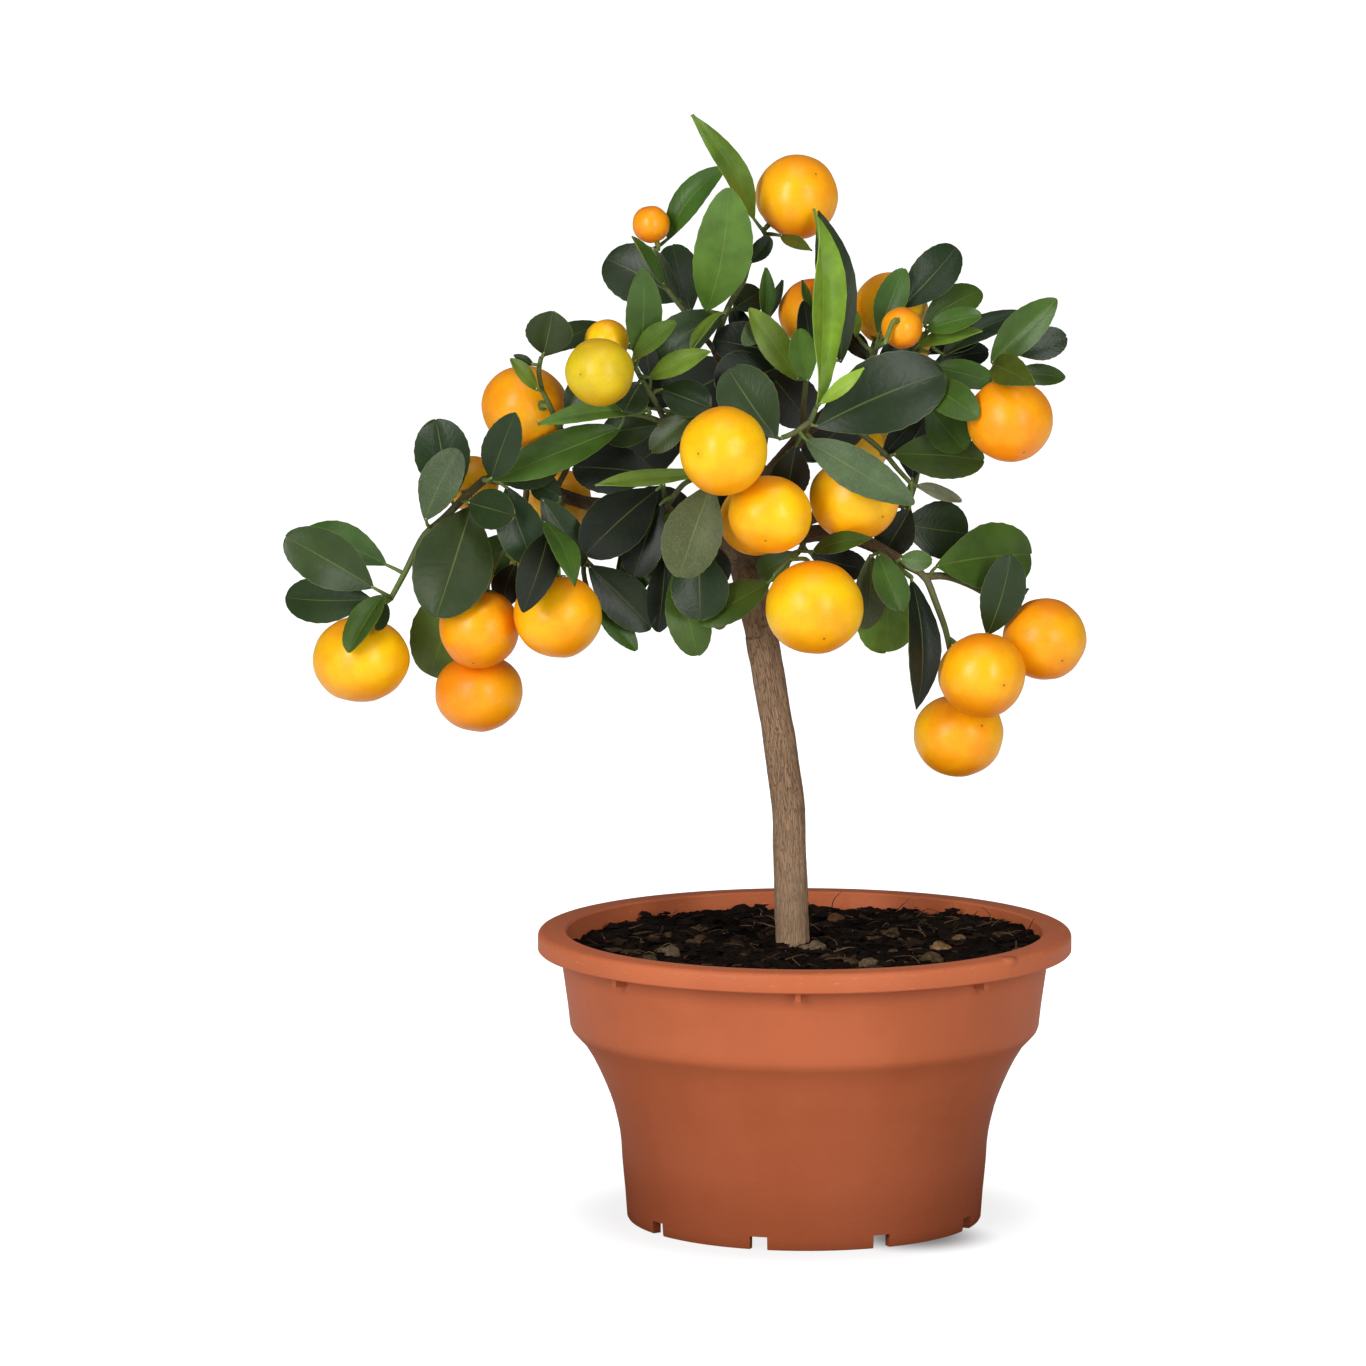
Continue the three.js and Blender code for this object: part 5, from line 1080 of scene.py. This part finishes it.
def add_blade(bm, leaf, rng):
    """One leaf blade: a grid laid along the leaf's frame, then given its thickness."""
    ahead, face, side = leaf_frame(leaf["foot"], leaf["tip"], leaf["roll"])
    length = (leaf["tip"] - leaf["foot"]).length
    half, slope = leaf["width"] / 2, math.tan(leaf["fold"])
    slim = leaf["width"] / length
    wave, phase = rng.uniform(0.3, 1.0) * length / 50, rng.uniform(0, 2 * math.pi)
    twist, droop = rng.uniform(-0.16, 0.16), rng.uniform(0, 0.05)
    sweep = rng.uniform(-0.03, 0.03)
    red, green, blue, rough = TONES[leaf["tone"]]
    warmth, light = rng.uniform(-0.08, 0.08), rng.uniform(0.9, 1.12)
    colour = srgb(red * light * (1 + warmth), green * light, blue * light * (1 - warmth))[:3]
    grid = bmesh.ops.create_grid(bm, x_segments=BLADE_COLUMNS, y_segments=BLADE_ROWS, size=1)["verts"]
    for vert in grid:
        s, t = vert.co.x, (1 - math.cos(math.pi * (vert.co.y + 1) / 2)) / 2
        tooth = 1 + 0.012 * abs(s) ** 6 * (-1) ** round((vert.co.y + 1) * BLADE_ROWS / 2)
        reach = s * max(half * blade_share(t, slim) * tooth, LEAST_REACH)
        up = abs(reach) * slope / math.sqrt(1 + (abs(reach) / (half * 0.6)) ** 2)
        up += wave * s * s * math.sin(2.4 * math.pi * t + phase + math.copysign(0.7, s)) * min(1, 6 * t)
        up -= droop * length * t ** 4
        mid = leaf["foot"] + ahead * length * t + face * leaf["arch"] * length * 4 * t * (1 - t)
        mid += side * sweep * length * 4 * t * (1 - t)
        turn = twist * (t - 0.3)
        out = side * math.cos(turn) + face * math.sin(turn)
        high = face * math.cos(turn) - side * math.sin(turn)
        vert.co = mid + out * reach + high * up
        vert[blade_layer] = (s * 0.5 + 0.5, t, length / 50)
        vert[leaf_tint] = (*colour, rough)
    top = list({item for vert in grid for item in vert.link_faces})
    bmesh.ops.recalc_face_normals(bm, faces=top)
    if sum(item.normal.dot(face) * item.calc_area() for item in top) < 0:
        bmesh.ops.reverse_faces(bm, faces=top)
    thick = bmesh.ops.solidify(bm, geom=top, thickness=BLADE)["geom"]
    for item in thick:
        if isinstance(item, bmesh.types.BMFace):
            item[under_layer] = 1.0


def add_twig(bm, points, foot, end, colour_foot, colour_end, step=TWIG_STEP, sides=TWIG_SIDES):
    for vert in add_tube(bm, *smooth_path(points, taper(len(points), foot, end), step), sides):
        share = min(1, (vert.co - points[0]).length / max((points[-1] - points[0]).length, 1))
        vert[leaf_tint] = [a + (b - a) * share for a, b in zip(colour_foot, colour_end)]
        vert[blade_layer] = CLEAR_OF_VEINS


def leaf_veins(tree):
    """A node group: the pale midrib, the side veins that leave it, and the height of both."""
    group = bpy.data.node_groups.new("leaf veins", "ShaderNodeTree")
    group.interface.new_socket("Place", in_out="INPUT", socket_type="NodeSocketVector")
    for name in ("Midrib", "Veins", "Height"):
        group.interface.new_socket(name, in_out="OUTPUT", socket_type="NodeSocketFloat")
    start, end = group.nodes.new("NodeGroupInput"), group.nodes.new("NodeGroupOutput")
    parts = add(group, "SeparateXYZ", start.outputs["Place"])
    across, run = parts.outputs["X"], parts.outputs["Y"]
    away = maths(group, "ABSOLUTE", less(group, across, 0.5))
    rib_width = spread(group, run, 0.0, 1.0, 0.026, 0.008)
    midrib = spread(group, maths(group, "DIVIDE", away, rib_width), 1.0, 0.3)
    wobble = times(group, speckle(group, start.outputs["Place"], 5, 2), 0.3)
    slant = less(group, run, times(group, away, 0.42))
    lanes = times(group, maths(group, "ADD", slant, wobble), 10.0)
    gap = maths(group, "ABSOLUTE", less(group, maths(group, "FRACT", lanes), 0.5))
    quilt = times(group, maths(group, "SINE", times(group, gap, math.pi)), 0.22)
    plug(group, end.inputs["Midrib"], midrib)
    plug(group, end.inputs["Veins"], spread(group, gap, 0.09, 0.0))
    plug(group, end.inputs["Height"], less(group, quilt, times(group, midrib, 0.9)))
    made = tree.nodes.new("ShaderNodeGroup")
    made.node_tree = group
    return made


leaf_skin, tree, shader = new_material("citrus leaf", 0.4, 0.3)
own, own_dull = attribute(tree, "leaf_tint", "Color"), attribute(tree, "leaf_tint", "Alpha")
blade_place, below = attribute(tree, "blade"), attribute(tree, "under", "Fac")
place = place_of(tree)
veins = leaf_veins(tree)
plug(tree, veins.inputs["Place"], blade_place)
shades = speckle(tree, place, 90, 4, 0.6)
# Painted sheen: broad patches of the upper face are painted lighter, for the soft gloss of the leaves'
# wax.
clouds = speckle(tree, place, 34, 3, 0.5)
upper = mix(tree, spread(tree, shades, 0.3, 0.75, 0.0, 0.35), own, srgb(24, 36, 14))
lighter = add(tree, "HueSaturation", Saturation=1.0, Value=1.6, Color=upper)
upper = mix(tree, spread(tree, clouds, 0.42, 0.75, 0.0, 0.55), upper, lighter)
specks = speckle(tree, place, 1100, 3, 0.7)
dusty = times(tree, spread(tree, own_dull, 0.43, 0.46), spread(tree, specks, 0.45, 0.75, 0, 0.1))
upper = mix(tree, dusty, upper, srgb(176, 182, 150))
upper = mix(tree, times(tree, veins.outputs["Veins"], 0.03), upper, srgb(104, 126, 60))
pale = mix(tree, 0.5, own, srgb(140, 156, 76))
midrib = times(tree, veins.outputs["Midrib"], 0.5)
upper = mix(tree, midrib, upper, pale)
across = add(tree, "SeparateXYZ", blade_place).outputs["X"]
rim = spread(tree, maths(tree, "ABSOLUTE", less(tree, across, 0.5)), 0.484, 0.5, 0.0, 0.55)
upper = mix(tree, rim, upper, pale)
lower = mix(tree, 0.55, own, srgb(116, 134, 72))
lower = mix(tree, midrib, lower, srgb(176, 186, 132))
dull = maths(tree, "ADD", own_dull, times(tree, below, 0.22))
plug(tree, shader.inputs["Roughness"], maths(tree, "ADD", dull, times(tree, shades, 0.08)))
cells = speckle(tree, place, 1400, 2)
relief = bump(tree, shades, 0.25, 0.0006, bump(tree, veins.outputs["Height"], 0.3, 0.0004))
dress(tree, shader, mix(tree, below, upper, lower), bump(tree, cells, 0.15, 0.00015, relief))
WOOD_FOOT = (*srgb(92, 84, 56)[:3], 0.7)
WOOD_END = (*srgb(84, 104, 46)[:3], 0.5)
GREEN = (*srgb(98, 122, 50)[:3], 0.45)
rng = random.Random(LEAF_SEED)
for stem in stems:
    bm = bmesh.new()
    blade_layer = bm.verts.layers.float_vector.new("blade")
    leaf_tint = bm.verts.layers.float_color.new("leaf_tint")
    under_layer = bm.faces.layers.float.new("under")
    for points in stem["paths"]:
        add_twig(bm, points, stem["foot"], stem["end"], WOOD_FOOT, WOOD_END)
    for leaf in stem["leaves"]:
        ahead = (leaf["tip"] - leaf["foot"]).normalized()
        elbow = leaf["root"].lerp(leaf["foot"], 0.6) - ahead * 0.4
        add_twig(bm, [leaf["root"], elbow, leaf["foot"] + ahead * 1.2],
                 *[PETIOLE * share for share in PETIOLE_TAPER], WOOD_END, GREEN, 2.0, 8)
        add_blade(bm, leaf, rng)
    piece_of(bm, "leaves_" + stem["name"], leaf_skin, "leaf", "stem_" + stem["name"], sharp=70)

# ---------------------------------------------------------------- fruits
# A fruit is a slightly flattened ball with a pitted peel, dimpled round its stalk. A short green
# stalk and a star of five dry sepals hold it to the twig.
FRUIT_SEED = 31
DENTS = ((0.034, 1.3), (0.01, 3.4))  # unevenness, as a share of the radius, and how fine it is
STALK_DIMPLE = 0.075  # depth, as a share of the radius
FLOWER_DIMPLE = 0.022
PEELS = {  # lighter and darker peel where it isn't the common one
    # fruit_04's peel is painted a little lighter than the common one, a painted light that makes up for
    # the shade the leaves cast on it.
    "fruit_09": ((226, 196, 22), (200, 172, 26)), "fruit_04": ((255, 204, 22), (246, 170, 10)),
    "fruit_03": ((248, 164, 14), (236, 136, 8)), "fruit_07": ((252, 168, 8), (240, 142, 5)),
    "fruit_02": ((250, 158, 10), (232, 126, 8)), "fruit_01": ((252, 180, 8), (244, 152, 5)),
    "fruit_05": ((246, 162, 14), (234, 134, 8)), "fruit_17": ((252, 176, 8), (242, 144, 5)),
    "fruit_18": ((250, 168, 8), (240, 138, 5)), "fruit_19": ((253, 186, 8), (245, 154, 5)),
    "fruit_20": ((252, 182, 8), (244, 150, 5)), "fruit_21": ((250, 174, 8), (242, 146, 5)),
    "fruit_22": ((252, 184, 8), (244, 152, 5)), "fruit_10": ((252, 182, 8), (242, 148, 5))}
PEEL = ((254, 198, 8), (248, 168, 4))
MARKS = {  # where the scar of the flower shows, as x and z on the drawing plane
    "fruit_01": (4.5, 451.5), "fruit_09": (-96, 366), "fruit_11": (-46, 332.5),
    "fruit_12": (-17, 294.5), "fruit_14": (33, 305), "fruit_15": (8, 253), "fruit_17": (-142, 242),
    "fruit_20": (85.1, 233.4), "fruit_21": (109.9, 243.6), "fruit_22": (75.2, 216.3)}
BALL_SIDES = 56
BALL_RINGS = 36
STALK_RADII = [1.0, 1.0, 1.25]
STALK_SIDES = 10
STALK_SEAT = 0.9  # how far out it ends, as a share of the radius
CALYX_RAYS = 5
CALYX_LARGEST = 3.4
CALYX_THICK = 0.7
CALYX_SEAT = 0.965  # its height over the fruit's centre, as a share of the radius


def make_peel(name, middle, edge):
    made, tree, shader = new_material(name, 0.34, 0.34)
    place = place_of(tree)
    clouds = speckle(tree, place, 38, 4, 0.6)
    colour = mix(tree, spread(tree, clouds, 0.35, 0.7), srgb(*middle), srgb(*edge))
    pores = add(tree, "TexVoronoi", Vector=place, Scale=820)
    pit = spread(tree, pores, 0.0, 0.42, 1.0, 0.0)
    ball = add(tree, "VectorMath", attribute(tree, "ball"), operation="NORMALIZE")
    flower = attribute(tree, "flower")
    near = add(tree, "VectorMath", ball, flower, operation="DOT_PRODUCT").outputs["Value"]
    high = add(tree, "SeparateXYZ", ball).outputs["Z"]
    # Painted shade: each fruit is painted a deeper orange towards its top and its bottom.
    painted_pole_shade = spread(tree, maths(tree, "ABSOLUTE", less(tree, high, 0.1)), 0.3, 1.0, 0.0, 0.6)
    colour = mix(tree, painted_pole_shade, colour, srgb(*[c * share for c, share in zip(edge, (0.97, 0.8, 0.6))]))
    colour = mix(tree, times(tree, pit, 0.2), colour, srgb(*[c * 0.8 for c in edge]))
    colour = mix(tree, spread(tree, near, 0.985, 0.998, 0.0, 0.35), colour, srgb(*edge))
    colour = mix(tree, spread(tree, near, 0.9992, 0.9997, 0.0, 0.7), colour, srgb(112, 84, 30))
    marks = add(tree, "TexVoronoi", Vector=place, Scale=95)
    colour = mix(tree, spread(tree, marks, 0.04, 0.02, 0.0, 0.45), colour, srgb(150, 96, 40))
    plug(tree, shader.inputs["Roughness"], spread(tree, clouds, 0.3, 0.7, 0.3, 0.42))
    lumps = speckle(tree, place, 300, 3)
    dress(tree, shader, colour, bump(tree, pit, -0.3, 0.0004, bump(tree, lumps, 0.2, 0.0005)))
    shader.inputs["Subsurface Weight"].default_value = 0.12
    shader.inputs["Subsurface Radius"].default_value = (0.004, 0.0018, 0.0006)
    shader.inputs["Subsurface Scale"].default_value = 1.0
    return made


stalk_skin, tree, shader = new_material("green stalk", 0.55, 0.4)
streaks = speckle(tree, place_of(tree), 300, 4)
stalk_colour = mix(tree, spread(tree, streaks, 0.3, 0.7), srgb(84, 106, 44), srgb(122, 134, 62))
dress(tree, shader, stalk_colour, bump(tree, streaks, 0.5, 0.0004))
common_peel = make_peel("orange peel", *PEEL)
peels = {name: make_peel("peel " + name, *pair) for name, pair in PEELS.items()}


def add_ball(bm, fruit, turn, shift):
    """A pitted ball, dimpled round its stalk and at the scar that the flower left."""
    ball_layer = bm.verts.layers.float_vector.new("ball")
    flower_layer = bm.verts.layers.float_vector.new("flower")
    flower = -fruit["way"]
    if fruit["name"] in MARKS:
        aside = sight(*MARKS[fruit["name"]], fruit["centre"].y) - fruit["centre"]
        aside.y = -math.sqrt(max(fruit["radius"] ** 2 - aside.length_squared, 1))
        flower = aside.normalized()
    spans = Vector((fruit["width"], fruit["width"], fruit["height"]))
    bmesh.ops.create_uvsphere(bm, u_segments=BALL_SIDES, v_segments=BALL_RINGS, radius=1)
    for vert in bm.verts:
        facing = turn @ vert.co
        vert[ball_layer] = facing
        vert[flower_layer] = flower
        bulge = 1 + sum(size * noise.noise(vert.co * grain + shift) for size, grain in DENTS)
        bulge -= STALK_DIMPLE * math.exp(-((1 - vert.co.z) / 0.03))
        bulge -= FLOWER_DIMPLE * math.exp(-((1 - facing.dot(flower)) / 0.01))
        vert.co = fruit["centre"] + (turn @ (vert.co * bulge)) * spans / 2


def add_stalk(bm, fruit):
    seat = fruit["centre"] + fruit["way"] * fruit["radius"] * STALK_SEAT
    points = [fruit["root"], fruit["bend"].lerp(fruit["root"], 0.15), seat]
    add_tube(bm, *smooth_path(points, STALK_RADII, 1.5), STALK_SIDES)


def add_calyx(bm, fruit, turn):
    """A star of dry sepals that lies on the fruit round its stalk."""
    star = bmesh.ops.create_circle(bm, cap_ends=True, segments=CALYX_RAYS * 6, radius=1)["verts"]
    size = min(CALYX_LARGEST, fruit["radius"] * 0.2 + 0.8)
    for vert in star:
        angle = math.atan2(vert.co.y, vert.co.x)
        ray = 0.62 + 0.38 * abs(math.cos(angle * CALYX_RAYS / 2)) ** 1.5
        vert.co = Vector((math.cos(angle) * ray * size, math.sin(angle) * ray * size, 0))
    hub = bmesh.ops.poke(bm, faces=list({item for vert in star for item in vert.link_faces}))
    whole = bmesh.ops.solidify(bm, geom=hub["faces"], thickness=CALYX_THICK)["geom"]
    corners = {*star, *hub["verts"], *[item for item in whole if isinstance(item, bmesh.types.BMVert)]}
    for vert in corners:
        far = math.hypot(vert.co.x, vert.co.y)
        drop = math.sqrt(max(fruit["radius"] ** 2 - far ** 2, 0)) - fruit["radius"]
        lifted = vert.co + Vector((0, 0, fruit["radius"] * CALYX_SEAT + drop))
        vert.co = fruit["centre"] + turn @ lifted
    bmesh.ops.recalc_face_normals(bm, faces=bm.faces[:])


rng = random.Random(FRUIT_SEED)
for fruit in fruits:
    name = fruit["name"]
    shift = Vector([rng.random() for _ in range(3)]) * 40
    turn = Vector((0, 0, 1)).rotation_difference(fruit["way"])
    bm = bmesh.new()
    add_ball(bm, fruit, turn, shift)
    piece_of(bm, name + "_peel", peels.get(name, common_peel), "peel", name, sharp=80)
    bm = bmesh.new()
    add_stalk(bm, fruit)
    add_calyx(bm, fruit, turn)
    piece_of(bm, name + "_stalk", stalk_skin, "leaf", name, sharp=60)

# ---------------------------------------------------------------- floor and light
# A white table that runs out of sight, a bright even sky and two tall soft boxes beside the lens.
# Painted shadow: the table's glow to the lens is lowered in a soft patch at the pot's foot and in a
# faint ring all round it.
SHADOW = (0.048, -0.045, 0)  # middle of the soft shadow at the foot, metres
SHADOW_REACH = (0.01, 0.038)
SHADOW_DEPTH = 0.66
VEIL_REACH = (0.08, 0.118)  # faint shade all round the foot
VEIL_DEPTH = 0.17
# Painted light: beyond the pot's shade the table glows faintly to every ray, standing in for the light
# it bounces back.
BOUNCE = 0.3  # light that the table gives back from beyond the pot's own shade
BOUNCE_REACH = (0.12, 0.3)
FLOOR_SIZE = 60
FLOOR_DROP = 0.0002  # under the pot's foot
SKY = 0.15
floor_bm = bmesh.new()
bmesh.ops.create_grid(floor_bm, x_segments=1, y_segments=1, size=FLOOR_SIZE)
floor = object_of(floor_bm, "floor")
floor.location.z = -FLOOR_DROP
table_top, tree, shader = new_material("white table", 0.9, 0.0)
shader.inputs["Emission Color"].default_value = (1, 1, 1, 1)
seen = add(tree, "LightPath").outputs["Is Camera Ray"]
place = whereabouts(tree)
far = add(tree, "VectorMath", place, operation="LENGTH").outputs["Value"]
# Painted shadow and painted shade round the foot, cut out of the glow.
off = distance(tree, place, SHADOW)
lit = spread(tree, off, *SHADOW_REACH, 1 - SHADOW_DEPTH, 1.0)
glow = less(tree, lit, spread(tree, far, *VEIL_REACH, VEIL_DEPTH, 0.0))
painted_bounce = spread(tree, far, *BOUNCE_REACH, 0.0, BOUNCE)
more = times(tree, seen, less(tree, glow, painted_bounce))
plug(tree, shader.inputs["Emission Strength"], maths(tree, "ADD", painted_bounce, more))
# Painted shade: near the pot the table is dark, so it gives little light back onto the pot.
shaded, open_table = (0.14, 0.14, 0.14, 1), (0.8, 0.8, 0.8, 1)
plug(tree, shader.inputs["Base Color"], mix(tree, spread(tree, far, *BOUNCE_REACH), shaded, open_table))
floor.data.materials.append(table_top)

world = bpy.data.worlds.new("studio")
world.use_nodes = True
sky = world.node_tree.nodes["Background"]
sky.inputs["Color"].default_value = (1, 1, 1, 1)
sky.inputs["Strength"].default_value = SKY
bpy.context.scene.world = world

LAMPS = [  # name, place, aim, width, height, power
    ("left_box", (-1.3, -1.95, 1.05), (0, 0, 0.25), 0.7, 1.5, 38),
    ("right_box", (1.25, -2.0, 0.95), (0, 0, 0.25), 0.6, 1.4, 24),
    ("top_box", (0.0, -0.6, 1.9), (0, 0, 0.2), 1.2, 1.2, 8)]
for name, at, aim, width, height, power in LAMPS:
    lamp = placed(name, bpy.data.lights.new(name, "AREA"))
    lamp.data.shape = "RECTANGLE"
    lamp.data.size, lamp.data.size_y = width, height
    lamp.data.energy = power
    lamp.location = at
    lamp.rotation_euler = (Vector(aim) - Vector(at)).to_track_quat("-Z", "Y").to_euler()
bpy.context.scene.view_settings.view_transform = "Standard"
